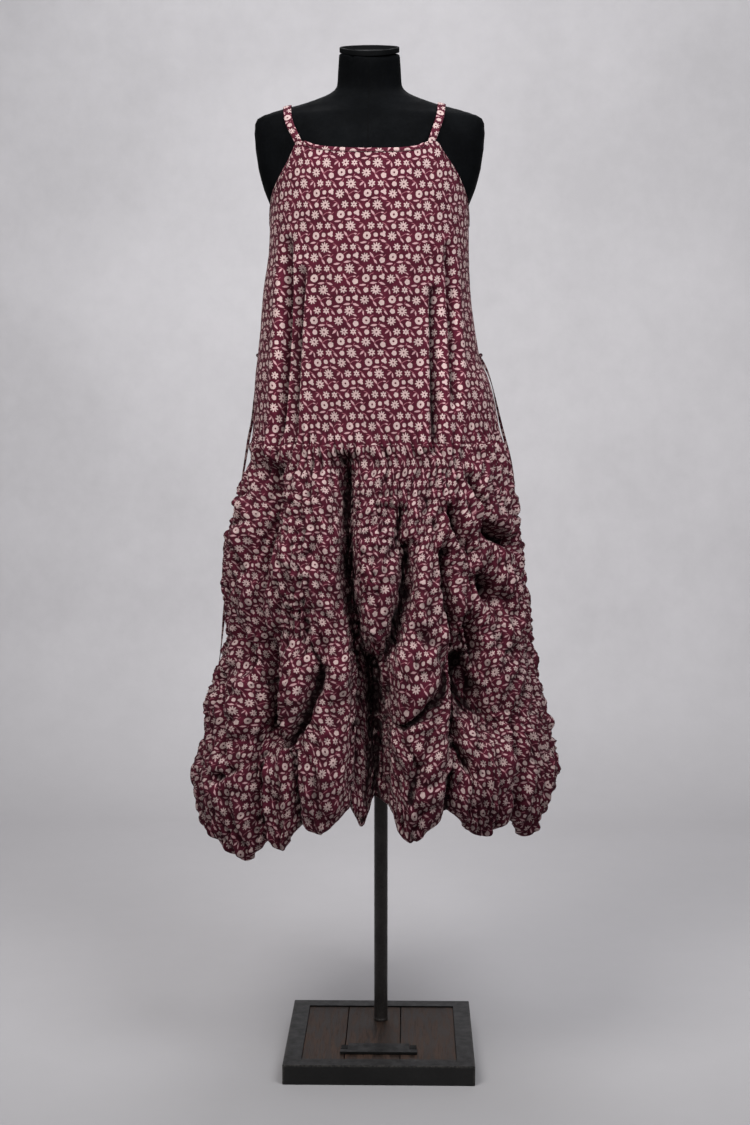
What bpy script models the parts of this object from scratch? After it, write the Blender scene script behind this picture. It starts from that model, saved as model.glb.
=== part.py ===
"""Slip dress on a limbless dress form with a square stand.

The origin is the middle of the stand's underside, on the floor. +Z is up,
the front of the dress faces -Y and +X is its right side seen from the front.
All sizes are in metres. The dress is one tube of sections, cut along its
side seams and its waist seam into four panels, each a thin closed wall.
"""

from math import pi

import bmesh
import bpy
import numpy as np

# ---------------------------------------------------------------- sizes

GAP = 0.0003  # between pieces that meet
CLOTH = 0.0016  # wall of the panels
TRIM = 0.0012  # wall of the bindings
STRAP_WIDE = 0.0125
STRAP_THICK = 0.0020
STRAP_LIFT = 0.0013  # strap's underside to the form, which clears its facets
BINDING_WIDE = 0.0060
TIE_DIAMETER = 0.0040
TIE_STEP = 2.5  # diameters between the points of a tie's line

WAIST_Z = 0.9900  # seam of the bodice and the skirt
FRONT_COLUMNS = 40
BACK_COLUMNS = 30
BODICE_ROWS = 9
FRONT_SKIRT_ROWS = 23
BACK_SKIRT_ROWS = 20
HEM_ROLL = 0.0160  # radius of the turned-under hem
HELD_Z = 1.3600  # above here the cloth is held and has no folds
FREE_Z = 1.2600  # below here they have their full depth

BASE_SIDE = 0.3000
BASE_HIGH = 0.0318
BASE_RIM = 0.0280
BASE_FLOOR = 0.0120  # thickness under the planks
PLANK_TOP = 0.0296
PLANK_CUTS = (-0.0550, 0.0330)  # x of the joints between the planks
PLANK_JOINT = 0.0014
POLE_Y = 0.0620  # the pole stands behind the middle of the stand
POLE_RADIUS = 0.0112
FOOT_RADIUS = 0.0117
FOOT_HIGH = 0.0040
PLATE_X = -0.0010  # bare plate in front of the pole: a bar with a deeper middle
PLATE_FRONT = -0.0987
PLATE_BAR = (0.1220, 0.0135)
PLATE_MIDDLE = (0.0980, 0.0390)
PLATE_HIGH = 0.0045
LUG = (0.0107, 0.0160, 0.0050)

# Torso sections: height, half width, front and back depth, slope of the section's
# plane (rise per metre toward the back), half width of the chest alone and depth
# of the arm stubs, which widen the section to its full half width.
FORM_X = -0.0172
FORM_SIDES = 36
FORM = (
    # z, half, front, back, slope, chest half, arm depth
    (0.7200, 0.1440, 0.0860, 0.0980, 0.00, 0.1300, 0.0700),
    (0.7320, 0.1500, 0.0910, 0.1040, 0.00, 0.1360, 0.0740),
    (0.8600, 0.1600, 0.1000, 0.1160, 0.00, 0.1450, 0.0800),
    (1.0000, 0.1380, 0.0950, 0.0900, 0.00, 0.1250, 0.0700),
    (1.1200, 0.1180, 0.0860, 0.0720, 0.00, 0.1060, 0.0600),
    (1.2200, 0.1300, 0.1030, 0.0780, 0.00, 0.1180, 0.0620),
    (1.3000, 0.1440, 0.1225, 0.0870, 0.00, 0.1330, 0.0620),
    (1.3490, 0.1490, 0.1205, 0.0920, 0.00, 0.1370, 0.0600),
    (1.3740, 0.1620, 0.1170, 0.0945, 0.00, 0.1390, 0.0560),
    (1.4050, 0.1735, 0.1115, 0.0955, 0.00, 0.1400, 0.0540),
    (1.4360, 0.1798, 0.1040, 0.0935, 0.00, 0.1400, 0.0530),
    (1.4660, 0.1835, 0.0925, 0.0880, 0.00, 0.1400, 0.0520),
    (1.4850, 0.1845, 0.0810, 0.0820, 0.00, 0.1380, 0.0480),
    (1.4956, 0.1835, 0.0735, 0.0775, 0.00, 0.1320, 0.0430),
    (1.5010, 0.1785, 0.0690, 0.0745, 0.00, 0.1260, 0.0400),
    (1.5047, 0.1680, 0.0655, 0.0720, 0.01, 0.1180, 0.0380),
    (1.5093, 0.1535, 0.0615, 0.0685, 0.02, 0.1100, 0.0350),
    (1.5138, 0.1350, 0.0580, 0.0655, 0.03, 0.1000, 0.0340),
    (1.5184, 0.1135, 0.0555, 0.0625, 0.04, 0.0900, 0.0340),
    (1.5229, 0.0983, 0.0535, 0.0590, 0.06, 0.0800, 0.0340),
    (1.5275, 0.0850, 0.0520, 0.0560, 0.08, 0.0700, 0.0340),
    (1.5320, 0.0728, 0.0510, 0.0530, 0.10, 0.0630, 0.0340),
    (1.5366, 0.0624, 0.0505, 0.0500, 0.13, 0.0560, 0.0340),
    (1.5427, 0.0540, 0.0505, 0.0465, 0.16, 0.0495, 0.0320),
    (1.5488, 0.0503, 0.0510, 0.0435, 0.19, 0.0465, 0.0300),
    (1.5579, 0.0498, 0.0520, 0.0400, 0.22, 0.0445, 0.0280),
    (1.5740, 0.0490, 0.0535, 0.0365, 0.27, 0.0430, 0.0260),
    (1.5900, 0.0478, 0.0555, 0.0335, 0.30, 0.0420, 0.0250),
)
NECK_TOP = 1.6080
CAP_HIGH = 0.0080
CAP_LIP = 0.0034
DISH_DEEP = 0.0055

# Dress sections: height, left and right edge seen from the front, front and
# back depth, and how square the section is (2 is an ellipse).
DRESS = (
    # z, left, right, front, back, square
    (1.4700, -0.1660, 0.1320, 0.1010, 0.1000, 2.40),
    (1.4400, -0.1680, 0.1340, 0.1105, 0.1030, 2.40),
    (1.4000, -0.1705, 0.1362, 0.1200, 0.1060, 2.40),
    (1.3370, -0.1724, 0.1376, 0.1285, 0.1050, 2.40),
    (1.2960, -0.1739, 0.1380, 0.1320, 0.1050, 2.40),
    (1.2340, -0.1829, 0.1405, 0.1350, 0.1090, 2.30),
    (1.1710, -0.1888, 0.1483, 0.1390, 0.1170, 2.25),
    (1.1290, -0.1931, 0.1560, 0.1420, 0.1220, 2.25),
    (1.0930, -0.1972, 0.1700, 0.1450, 0.1270, 2.25),
    (1.0610, -0.1990, 0.1790, 0.1480, 0.1320, 2.25),
    (0.9980, -0.2002, 0.1896, 0.1550, 0.1420, 2.25),
    (0.9660, -0.2014, 0.2010, 0.1610, 0.1490, 2.25),
    (0.9340, -0.2140, 0.2065, 0.1690, 0.1560, 2.25),
    (0.9020, -0.2240, 0.2120, 0.1760, 0.1640, 2.25),
    (0.8380, -0.2410, 0.2190, 0.1880, 0.1770, 2.25),
    (0.7740, -0.2465, 0.2270, 0.1970, 0.1870, 2.25),
    (0.7100, -0.2385, 0.2320, 0.2040, 0.1950, 2.25),
    (0.6450, -0.2530, 0.2430, 0.2130, 0.2040, 2.25),
    (0.5800, -0.2740, 0.2600, 0.2220, 0.2140, 2.25),
    (0.5300, -0.2790, 0.2690, 0.2280, 0.2200, 2.25),
    (0.4810, -0.2950, 0.2815, 0.2320, 0.2240, 2.25),
    (0.4480, -0.2940, 0.2740, 0.2330, 0.2250, 2.25),
    (0.4150, -0.2910, 0.2650, 0.2330, 0.2250, 2.25),
    (0.3300, -0.2850, 0.2600, 0.2310, 0.2230, 2.25),
)

# Top edge of the bodice: angle from the middle of the front, in degrees
# (minus is the left), and height.
FRONT_EDGE = (
    # angle, z
    (-90, 1.3370),
    (-82, 1.3560),
    (-74, 1.3760),
    (-66, 1.3950),
    (-59, 1.4150),
    (-55, 1.4350),
    (-52.5, 1.4500),
    (-48, 1.4515),
    (-44, 1.4480),
    (-36, 1.4425),
    (-20, 1.4385),
    (0, 1.4372),
    (20, 1.4378),
    (34, 1.4410),
    (42, 1.4480),
    (46, 1.4520),
    (50.5, 1.4500),
    (54, 1.4340),
    (60, 1.4150),
    (68, 1.3920),
    (76, 1.3720),
    (84, 1.3520),
    (90, 1.3370),
)
BACK_EDGE = (
    # angle, z
    (90, 1.3370),
    (98, 1.3500),
    (108, 1.3700),
    (118, 1.3930),
    (125, 1.4150),
    (129.5, 1.4340),
    (134, 1.4370),
    (142, 1.4300),
    (156, 1.4250),
    (180, 1.4240),
    (204, 1.4250),
    (218, 1.4300),
    (226, 1.4370),
    (230.5, 1.4340),
    (235, 1.4150),
    (242, 1.3930),
    (252, 1.3700),
    (262, 1.3500),
    (270, 1.3370),
)

# Hem of the skirt as hanging lobes and drawn-up valleys, seen from the front
# and from the back: x and height.
FRONT_HEM = (
    # x, z
    (-0.292, 0.400),
    (-0.278, 0.388),
    (-0.248, 0.380),
    (-0.211, 0.362),
    (-0.169, 0.400),
    (-0.151, 0.390),
    (-0.118, 0.434),
    (-0.090, 0.420),
    (-0.053, 0.462),
    (-0.028, 0.426),
    (-0.010, 0.466),
    (0.015, 0.464),
    (0.051, 0.410),
    (0.101, 0.460),
    (0.138, 0.422),
    (0.162, 0.408),
    (0.203, 0.428),
    (0.237, 0.390),
    (0.268, 0.422),
    (0.276, 0.440),
)
BACK_HEM = (
    # x, z
    (-0.288, 0.390),
    (-0.252, 0.372),
    (-0.208, 0.408),
    (-0.162, 0.376),
    (-0.122, 0.418),
    (-0.070, 0.380),
    (-0.020, 0.424),
    (0.026, 0.384),
    (0.070, 0.416),
    (0.118, 0.372),
    (0.164, 0.414),
    (0.212, 0.378),
    (0.254, 0.426),
    (0.270, 0.450),
)

# Folds drawn in, as seen from the front: the run from top to bottom through a
# middle point, half width and depth.
FRONT_FOLDS = (
    # x, z, x, z, x, z, half, depth
    (-0.157, 0.940, -0.157, 0.880, -0.169, 0.800, 0.015, 0.025),
    (-0.160, 0.700, -0.150, 0.620, -0.153, 0.564, 0.016, 0.031),
    (-0.050, 0.960, -0.044, 0.880, -0.040, 0.800, 0.014, 0.024),
    (-0.040, 0.800, -0.034, 0.740, -0.020, 0.690, 0.015, 0.029),
    (-0.018, 0.690, -0.008, 0.600, -0.004, 0.455, 0.021, 0.043),
    (0.042, 0.845, 0.038, 0.776, 0.021, 0.690, 0.014, 0.024),
    (0.104, 0.880, 0.102, 0.790, 0.112, 0.700, 0.014, 0.020),
    (0.150, 0.790, 0.158, 0.740, 0.168, 0.665, 0.014, 0.024),
    (0.127, 0.676, 0.131, 0.637, 0.142, 0.600, 0.018, 0.032),
    (0.104, 0.600, 0.108, 0.550, 0.104, 0.450, 0.014, 0.022),
    (0.086, 0.669, 0.068, 0.625, 0.048, 0.602, 0.013, 0.017),
    (-0.215, 0.710, -0.210, 0.660, -0.226, 0.560, 0.014, 0.020),
    (-0.088, 0.663, -0.103, 0.601, -0.125, 0.555, 0.013, 0.020),
    (-0.176, 0.545, -0.176, 0.470, -0.172, 0.390, 0.014, 0.018),
    (-0.118, 0.545, -0.118, 0.480, -0.117, 0.430, 0.014, 0.016),
    (-0.054, 0.620, -0.052, 0.560, -0.053, 0.460, 0.014, 0.016),
    (0.204, 0.600, 0.202, 0.517, 0.203, 0.427, 0.014, 0.018),
    (0.176, 0.870, 0.190, 0.838, 0.212, 0.815, 0.013, 0.017),
    (-0.232, 0.900, -0.240, 0.840, -0.238, 0.760, 0.016, 0.014),
    (0.226, 0.790, 0.230, 0.720, 0.238, 0.660, 0.015, 0.014),
    (-0.262, 0.530, -0.270, 0.460, -0.264, 0.400, 0.015, 0.014),
    (0.248, 0.530, 0.254, 0.460, 0.248, 0.400, 0.015, 0.014),
    (-0.139, 1.299, -0.144, 1.167, -0.155, 0.982, 0.013, 0.012),
    (-0.117, 1.253, -0.122, 1.166, -0.130, 1.000, 0.012, 0.006),
    (0.083, 1.223, 0.084, 1.106, 0.086, 0.986, 0.013, 0.011),
    (0.106, 1.291, 0.112, 1.167, 0.116, 1.061, 0.012, 0.008),
)
BACK_FOLDS = (
    # x, z, x, z, x, z, half, depth
    (-0.190, 0.930, -0.196, 0.860, -0.192, 0.780, 0.016, 0.024),
    (-0.188, 0.720, -0.184, 0.650, -0.190, 0.570, 0.016, 0.027),
    (-0.120, 0.950, -0.116, 0.880, -0.124, 0.815, 0.015, 0.020),
    (-0.128, 0.780, -0.118, 0.700, -0.108, 0.640, 0.015, 0.025),
    (-0.018, 0.960, -0.014, 0.840, -0.020, 0.720, 0.016, 0.029),
    (-0.022, 0.700, -0.026, 0.580, -0.022, 0.440, 0.019, 0.034),
    (0.076, 0.860, 0.070, 0.740, 0.058, 0.640, 0.015, 0.025),
    (0.118, 0.700, 0.112, 0.620, 0.118, 0.440, 0.016, 0.027),
    (0.168, 0.850, 0.172, 0.740, 0.166, 0.660, 0.015, 0.025),
    (0.200, 0.620, 0.204, 0.540, 0.202, 0.430, 0.015, 0.020),
    (-0.068, 0.650, -0.086, 0.590, -0.112, 0.560, 0.014, 0.020),
    (-0.160, 0.600, -0.162, 0.520, -0.168, 0.410, 0.015, 0.017),
    (-0.236, 0.880, -0.242, 0.800, -0.236, 0.720, 0.016, 0.016),
    (0.216, 0.900, 0.224, 0.820, 0.226, 0.740, 0.016, 0.016),
    (-0.262, 0.560, -0.268, 0.480, -0.262, 0.400, 0.015, 0.016),
    (0.246, 0.540, 0.250, 0.470, 0.246, 0.410, 0.015, 0.014),
    (-0.140, 1.290, -0.147, 1.160, -0.152, 1.000, 0.015, 0.012),
    (-0.030, 1.330, -0.032, 1.200, -0.028, 1.010, 0.017, 0.008),
    (0.102, 1.280, 0.108, 1.150, 0.114, 1.000, 0.015, 0.012),
)

# Cloth that stands out between the folds: place, half width, half height,
# rise, and how far its lower part sags.
FRONT_PUFFS = (
    # x, z, half width, half height, rise, sag
    (-0.198, 0.863, 0.030, 0.068, 0.014, 0.000),
    (-0.130, 0.799, 0.030, 0.061, 0.014, 0.003),
    (-0.200, 0.756, 0.027, 0.050, 0.010, 0.002),
    (-0.196, 0.622, 0.027, 0.076, 0.014, 0.003),
    (-0.084, 0.852, 0.027, 0.137, 0.012, 0.002),
    (-0.000, 0.779, 0.033, 0.106, 0.022, 0.006),
    (0.062, 0.749, 0.033, 0.129, 0.020, 0.004),
    (0.051, 0.646, 0.036, 0.055, 0.022, 0.006),
    (0.138, 0.880, 0.036, 0.061, 0.012, 0.003),
    (0.193, 0.756, 0.033, 0.070, 0.016, 0.005),
    (0.172, 0.647, 0.036, 0.061, 0.014, 0.006),
    (-0.118, 0.629, 0.026, 0.076, 0.024, 0.006),
    (-0.230, 0.484, 0.049, 0.079, 0.024, 0.005),
    (-0.144, 0.465, 0.030, 0.067, 0.006, 0.004),
    (-0.086, 0.498, 0.036, 0.067, 0.024, 0.004),
    (-0.029, 0.485, 0.026, 0.061, 0.006, 0.001),
    (0.060, 0.514, 0.049, 0.091, 0.028, 0.005),
    (0.159, 0.523, 0.055, 0.085, 0.022, 0.005),
    (0.238, 0.496, 0.036, 0.085, 0.018, 0.004),
)
BACK_PUFFS = (
    # x, z, half width, half height, rise, sag
    (-0.165, 0.850, 0.034, 0.080, 0.014, 0.003),
    (-0.160, 0.690, 0.030, 0.072, 0.022, 0.006),
    (-0.070, 0.760, 0.034, 0.110, 0.020, 0.005),
    (-0.062, 0.880, 0.030, 0.060, 0.010, 0.001),
    (0.016, 0.800, 0.032, 0.110, 0.020, 0.004),
    (0.024, 0.690, 0.034, 0.060, 0.022, 0.006),
    (0.110, 0.780, 0.034, 0.080, 0.018, 0.005),
    (0.160, 0.880, 0.030, 0.056, 0.012, 0.002),
    (0.190, 0.730, 0.026, 0.060, 0.012, 0.004),
    (0.090, 0.660, 0.026, 0.050, 0.014, 0.004),
    (-0.235, 0.490, 0.046, 0.080, 0.020, 0.004),
    (-0.120, 0.490, 0.050, 0.085, 0.024, 0.005),
    (-0.060, 0.500, 0.034, 0.070, 0.018, 0.004),
    (0.024, 0.490, 0.044, 0.080, 0.024, 0.004),
    (0.112, 0.480, 0.046, 0.080, 0.024, 0.005),
    (0.170, 0.500, 0.034, 0.076, 0.018, 0.004),
    (0.240, 0.490, 0.030, 0.080, 0.014, 0.004),
)

# Straps: x at the front edge, on the shoulder and at the back edge, and the
# angles round the dress at which its ends meet the bodice.
STRAPS = {
    "strap_left": (-0.1289, -0.1446, -0.1080, -50.3, 228.0),
    "strap_right": (0.0835, 0.0950, 0.0740, 46.0, 132.0),
}
# Bindings along the bodice's top edge: first and last angle, columns.
BINDINGS = {
    "neck_binding_front": (-47.0, 41.0, 25),
    "neck_binding_back": (136.0, 224.0, 21),
    "armhole_binding_left": (-128.5, -53.5, 23),
    "armhole_binding_right": (51.5, 128.5, 23),
}

# Routes of the side ties, from the side seam down to the free end.
LEFT_TIE = (
    # x, y, z
    (-0.1940, 0.024, 1.129),
    (-0.1990, 0.026, 1.100),
    (-0.2030, 0.028, 1.060),
    (-0.2060, 0.030, 1.030),
    (-0.2120, 0.030, 1.000),
    (-0.2170, 0.030, 0.970),
    (-0.2220, 0.030, 0.940),
    (-0.2270, 0.030, 0.905),
    (-0.2340, 0.032, 0.875),
    (-0.2430, 0.034, 0.835),
    (-0.2495, 0.034, 0.790),
    (-0.2515, 0.032, 0.745),
    (-0.2550, 0.030, 0.705),
    (-0.2590, 0.030, 0.665),
    (-0.2635, 0.030, 0.628),
)
RIGHT_TIE = (
    # x, y, z
    (0.1573, 0.024, 1.129),
    (0.1655, 0.026, 1.116),
    (0.1735, 0.028, 1.098),
    (0.1795, 0.030, 1.078),
    (0.1860, 0.030, 1.050),
    (0.1930, 0.030, 1.020),
    (0.1995, 0.030, 0.996),
    (0.2060, 0.030, 0.972),
    (0.2110, 0.030, 0.948),
    (0.2145, 0.030, 0.920),
    (0.2170, 0.030, 0.890),
    (0.2210, 0.030, 0.855),
    (0.2260, 0.030, 0.820),
    (0.2295, 0.030, 0.780),
    (0.2315, 0.030, 0.735),
)

# Looks of the pieces: linear colour, roughness and metallic value.
LOOKS = {
    "print_cotton": ((0.178, 0.082, 0.090, 1), 0.85, 0.0),
    "tie_cotton": ((0.100, 0.030, 0.038, 1), 0.85, 0.0),
    "form_cloth": ((0.0060, 0.0065, 0.0075, 1), 0.80, 0.0),
    "form_cap": ((0.0035, 0.0040, 0.0048, 1), 0.60, 0.0),
    "dark_steel": ((0.0110, 0.0105, 0.0105, 1), 0.55, 0.6),
    "pole_steel": ((0.0200, 0.0180, 0.0170, 1), 0.40, 0.8),
    "plank_wood": ((0.0380, 0.0280, 0.0250, 1), 0.60, 0.0),
}


# ---------------------------------------------------------------- curves


def curve(rows, at, column=1):
    """A smooth curve through a table's rows, as a function of its first column."""
    rows = sorted(rows)
    x = np.array([r[0] for r in rows], float)
    y = np.array([r[column] for r in rows], float)
    at = np.clip(np.asarray(at, float), x[0], x[-1])
    step = np.diff(x)
    rise = np.diff(y) / step
    # The slope at a row is the weighted mean of its neighbours, and flat at a turn.
    slope = np.zeros(len(x))
    for k in range(1, len(x) - 1):
        if rise[k - 1] * rise[k] > 0:
            a, b = step[k - 1] + 2 * step[k], 2 * step[k - 1] + step[k]
            slope[k] = (a + b) / (a / rise[k - 1] + b / rise[k])
    slope[0], slope[-1] = rise[0], rise[-1]
    i = np.clip(np.searchsorted(x, at, side="right") - 1, 0, len(x) - 2)
    h = step[i]
    t = (at - x[i]) / h
    return (
        (1 + 2 * t) * (1 - t) ** 2 * y[i]
        + t * (1 - t) ** 2 * h * slope[i]
        + t * t * (3 - 2 * t) * y[i + 1]
        + t * t * (t - 1) * h * slope[i + 1]
    )


def ease(t):
    t = np.clip(t, 0, 1)
    return t * t * (3 - 2 * t)


def unit(vectors):
    return vectors / np.linalg.norm(vectors, axis=-1, keepdims=True)


# ---------------------------------------------------------------- the dress


def dress_base(angle, z):
    """The dress without its folds, and its outward direction there."""
    angle, z = np.broadcast_arrays(np.asarray(angle, float), np.asarray(z, float))
    left, right, front, back, square = (curve(DRESS, z, k) for k in range(1, 6))
    half = (right - left) / 2
    s, c = np.sin(angle), np.cos(angle)
    deep = np.where(c > 0, front, back)
    r = (np.abs(s / half) ** square + np.abs(c / deep) ** square) ** (-1 / square)
    place = np.stack([(left + right) / 2 + r * s, -r * c, z], -1)
    outward = np.stack(
        [
            np.sign(s) * np.abs(s / half) ** (square - 1) / half,
            -np.sign(c) * np.abs(c / deep) ** (square - 1) / deep,
            0 * z,
        ],
        -1,
    )
    return place, unit(outward)


def on_dress(x, z, behind):
    """The point of the unfolded dress at this x, on its front or its back."""
    angles = np.linspace(-pi / 2, pi / 2, 241)
    if behind:
        angles = pi - angles
    across = dress_base(angles, z)[0][:, 0]
    return dress_base(np.interp(x, across, angles), z)[0]


def fold_runs():
    """Each fold as points down its run, with its half width and depth."""
    runs = []
    for rows, behind in ((FRONT_FOLDS, False), (BACK_FOLDS, True)):
        for x0, z0, x1, z1, x2, z2, half, depth in rows:
            steps = np.linspace(0, 2, 17)
            xs = np.interp(steps, (0, 1, 2), (x0, x1, x2))
            zs = np.interp(steps, (0, 1, 2), (z0, z1, z2))
            points = np.array([on_dress(x, z, behind) for x, z in zip(xs, zs)])
            runs.append((points, half, depth))
    return runs


def puff_spots():
    spots = []
    for rows, behind in ((FRONT_PUFFS, False), (BACK_PUFFS, True)):
        for x, z, wide, high, rise, sag in rows:
            spots.append((on_dress(x, z, behind), wide, high, rise, sag))
    return spots


RUNS = fold_runs()
SPOTS = puff_spots()


def relief(place):
    """How far the cloth stands out and how far it sags, at points of the base."""
    sunk = np.zeros(place.shape[:-1])
    for points, half, depth in RUNS:
        near = np.full(place.shape[:-1], np.inf)
        for a, b in zip(points[:-1], points[1:]):
            d = b - a
            t = np.clip(((place - a) @ d) / (d @ d), 0, 1)
            near = np.minimum(near, ((place - a - t[..., None] * d) ** 2).sum(-1))
        sunk += (depth * np.exp(-near / half**2)) ** 3
    # Where folds cross, the deeper one counts and not their sum.
    stands = -np.cbrt(sunk)
    sags = np.zeros(place.shape[:-1])
    for middle, wide, high, rise, sag in SPOTS:
        d = place - middle
        across = (d[..., 0] ** 2 + d[..., 1] ** 2) / wide**2
        up = d[..., 2] / high
        stands += rise * np.exp(-((across + up**2) ** 1.5))
        sags += sag * np.exp(-across - 2.5 * (up + 0.55) ** 2)
    return stands, sags


def dress_point(angle, z):
    """The middle of the cloth at an angle and a height of the unfolded tube."""
    place, outward = dress_base(angle, z)
    stands, sags = relief(place)
    stands = stands * ease((HELD_Z - z) / (HELD_Z - FREE_Z))
    point = place + outward * stands[..., None]
    point[..., 2] -= sags
    return point


def from_left_seam(angle):
    """The same direction as an angle from the left seam round to the left seam."""
    return (np.asarray(angle) + pi / 2) % (2 * pi) - pi / 2


def top_edge(angle):
    turn = np.degrees(from_left_seam(angle))
    behind = curve(BACK_EDGE, np.maximum(turn, 90))
    return np.where(turn <= 90, curve(FRONT_EDGE, turn), behind)


def hem_edge(angle):
    angle = from_left_seam(angle)
    x = dress_base(angle, FRONT_HEM[0][1])[0][..., 0]
    return np.where(angle <= pi / 2, curve(FRONT_HEM, x), curve(BACK_HEM, x))


def skirt_point(angle, share):
    """The skirt from its seam (0) to its hem (1), with the hem turned under."""
    angle, share = np.broadcast_arrays(np.asarray(angle), np.asarray(share))
    hem = hem_edge(angle)
    z = WAIST_Z + (hem - WAIST_Z) * share
    turn = np.clip(1 - (z - hem) / HEM_ROLL, 0, 1)
    inward = HEM_ROLL * (1 - np.sqrt(1 - turn**2))
    return dress_point(angle, z) - dress_base(angle, z)[1] * inward[..., None]


def bodice_point(angle, share):
    """The bodice from its top edge (0) to the waist seam (1)."""
    angle, share = np.broadcast_arrays(np.asarray(angle), np.asarray(share))
    top = top_edge(angle)
    return dress_point(angle, top + (WAIST_Z - top) * share)


def facing(point, angle, share):
    """Outward directions of a panel, from its own surface."""
    turn, down = 0.012, 0.008
    low, high = np.clip(share - down, 0, 1), np.clip(share + down, 0, 1)
    across = point(angle + turn, share) - point(angle - turn, share)
    return unit(np.cross(point(angle, high) - point(angle, low), across))


# ---------------------------------------------------------------- meshes


def clear_scene():
    for thing in list(bpy.data.objects):
        bpy.data.objects.remove(thing, do_unlink=True)


def material(name):
    found = bpy.data.materials.get(name)
    if found:
        return found
    colour, rough, metallic = LOOKS[name]
    made = bpy.data.materials.new(name)
    made.use_nodes = True
    shader = made.node_tree.nodes["Principled BSDF"]
    shader.inputs["Base Color"].default_value = colour
    shader.inputs["Roughness"].default_value = rough
    shader.inputs["Metallic"].default_value = metallic
    made.diffuse_color = colour
    return made


def add_object(name, data, look, place=(0, 0, 0)):
    data.materials.append(material(look))
    thing = bpy.data.objects.new(name, data)
    thing.location = place
    bpy.context.scene.collection.objects.link(thing)
    return thing


def add_mesh(name, points, faces, look):
    mesh = bpy.data.meshes.new(name)
    mesh.from_pydata([tuple(map(float, p)) for p in points], [], faces)
    mesh.shade_smooth()
    mesh.set_sharp_from_angle(angle=0.9)
    return add_object(name, mesh, look)


def wall(name, middle, normal, thick, look):
    """A closed wall about a grid of points: an outer, an inner and four rims.

    The grid's rows run down and its columns run to the right as seen from
    outside, so that the faces point out.
    """
    rows, columns = middle.shape[:2]
    outer = (middle + normal * thick / 2).reshape(-1, 3)
    inner = (middle - normal * thick / 2).reshape(-1, 3)
    inside = rows * columns
    faces = []
    for r in range(rows - 1):
        for c in range(columns - 1):
            a, b = r * columns + c, r * columns + c + 1
            d, e = a + columns, b + columns
            faces.append((a, d, e, b))
            faces.append((inside + a, inside + b, inside + e, inside + d))
    rim = (
        [r * columns for r in range(rows)]
        + [(rows - 1) * columns + c for c in range(1, columns)]
        + [r * columns + columns - 1 for r in range(rows - 2, -1, -1)]
        + [c for c in range(columns - 2, 0, -1)]
    )
    for a, b in zip(rim, rim[1:] + rim[:1]):
        faces.append((b, a, inside + a, inside + b))
    return add_mesh(name, np.concatenate([outer, inner]), faces, look)


def rings(name, loops, look):
    """A closed solid through loops of points, with its two ends filled."""
    count = len(loops[0])
    points = [p for loop in loops for p in loop]
    faces = []
    for k in range(len(loops) - 1):
        for i in range(count):
            a, b = k * count + i, k * count + (i + 1) % count
            faces.append((a, b, b + count, a + count))
    points += [np.mean(loops[0], axis=0), np.mean(loops[-1], axis=0)]
    first, last = len(points) - 2, len(points) - 1
    end = (len(loops) - 1) * count
    for i in range(count):
        j = (i + 1) % count
        faces.append((j, i, first))
        faces.append((end + i, end + j, last))
    return add_mesh(name, points, faces, look)


def box(name, size, middle, look, bevel=0.0):
    """A box about its middle, with its edges rounded."""
    mesh = bpy.data.meshes.new(name)
    form = bmesh.new()
    bmesh.ops.create_cube(form, size=1)
    bmesh.ops.scale(form, vec=size, verts=form.verts)
    form.to_mesh(mesh)
    form.free()
    thing = add_object(name, mesh, look, middle)
    if bevel:
        rounded = thing.modifiers.new("rounded", "BEVEL")
        rounded.width = bevel
        rounded.segments = 2
    return thing


# ---------------------------------------------------------------- panels


def column_angles(count, behind):
    """Angles spaced evenly along the cloth at the height of the skirt's middle."""
    start, end = (pi / 2, 3 * pi / 2) if behind else (-pi / 2, pi / 2)
    turns = np.linspace(start, end, 361)
    run = dress_base(turns, 0.65)[0]
    steps = np.linalg.norm(np.diff(run, axis=0), axis=1)
    length = np.concatenate([[0], np.cumsum(steps)])
    return np.interp(np.linspace(0, length[-1], count), length, turns)


def seam_step(point, angle, share):
    """The change of angle that moves half a gap along the cloth."""
    width = point(angle + 0.01, share) - point(angle - 0.01, share)
    return GAP / 2 * 0.02 / np.linalg.norm(width, axis=-1)


def panel(name, point, angles, shares):
    """A panel between its side seams, half a gap short of each seam."""
    angle, share = np.meshgrid(angles, shares)
    angle[:, 0] += seam_step(point, angle[:, 0], share[:, 0])
    angle[:, -1] -= seam_step(point, angle[:, -1], share[:, -1])
    if point is skirt_point:
        seam = 0
        share[seam] += GAP / 2 / (WAIST_Z - hem_edge(angle[seam]))
    else:
        seam = -1
        share[seam] -= GAP / 2 / (top_edge(angle[seam]) - WAIST_Z)
    # The cut edges are level at the waist, and in one plane at the sides.
    normal = facing(point, angle, share)
    normal[seam, :, 2] = 0
    normal[:, (0, -1), 1] = 0
    return wall(name, point(angle, share), unit(normal), CLOTH, "print_cotton")


def skirt_shares(count):
    """Rows down the skirt, close together where the hem turns under."""
    turn = HEM_ROLL / (WAIST_Z - FRONT_HEM[0][1])
    down = np.linspace(0, 1 - turn, count - 3)
    return np.concatenate([down, 1 - turn * np.array([0.55, 0.18, 0.0])])


def build_panels():
    for side, columns, rows in (
        ("front", FRONT_COLUMNS, FRONT_SKIRT_ROWS),
        ("back", BACK_COLUMNS, BACK_SKIRT_ROWS),
    ):
        angles = column_angles(columns, side == "back")
        panel("bodice_" + side, bodice_point, angles, np.linspace(0, 1, BODICE_ROWS))
        panel("skirt_" + side, skirt_point, angles, skirt_shares(rows))


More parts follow.
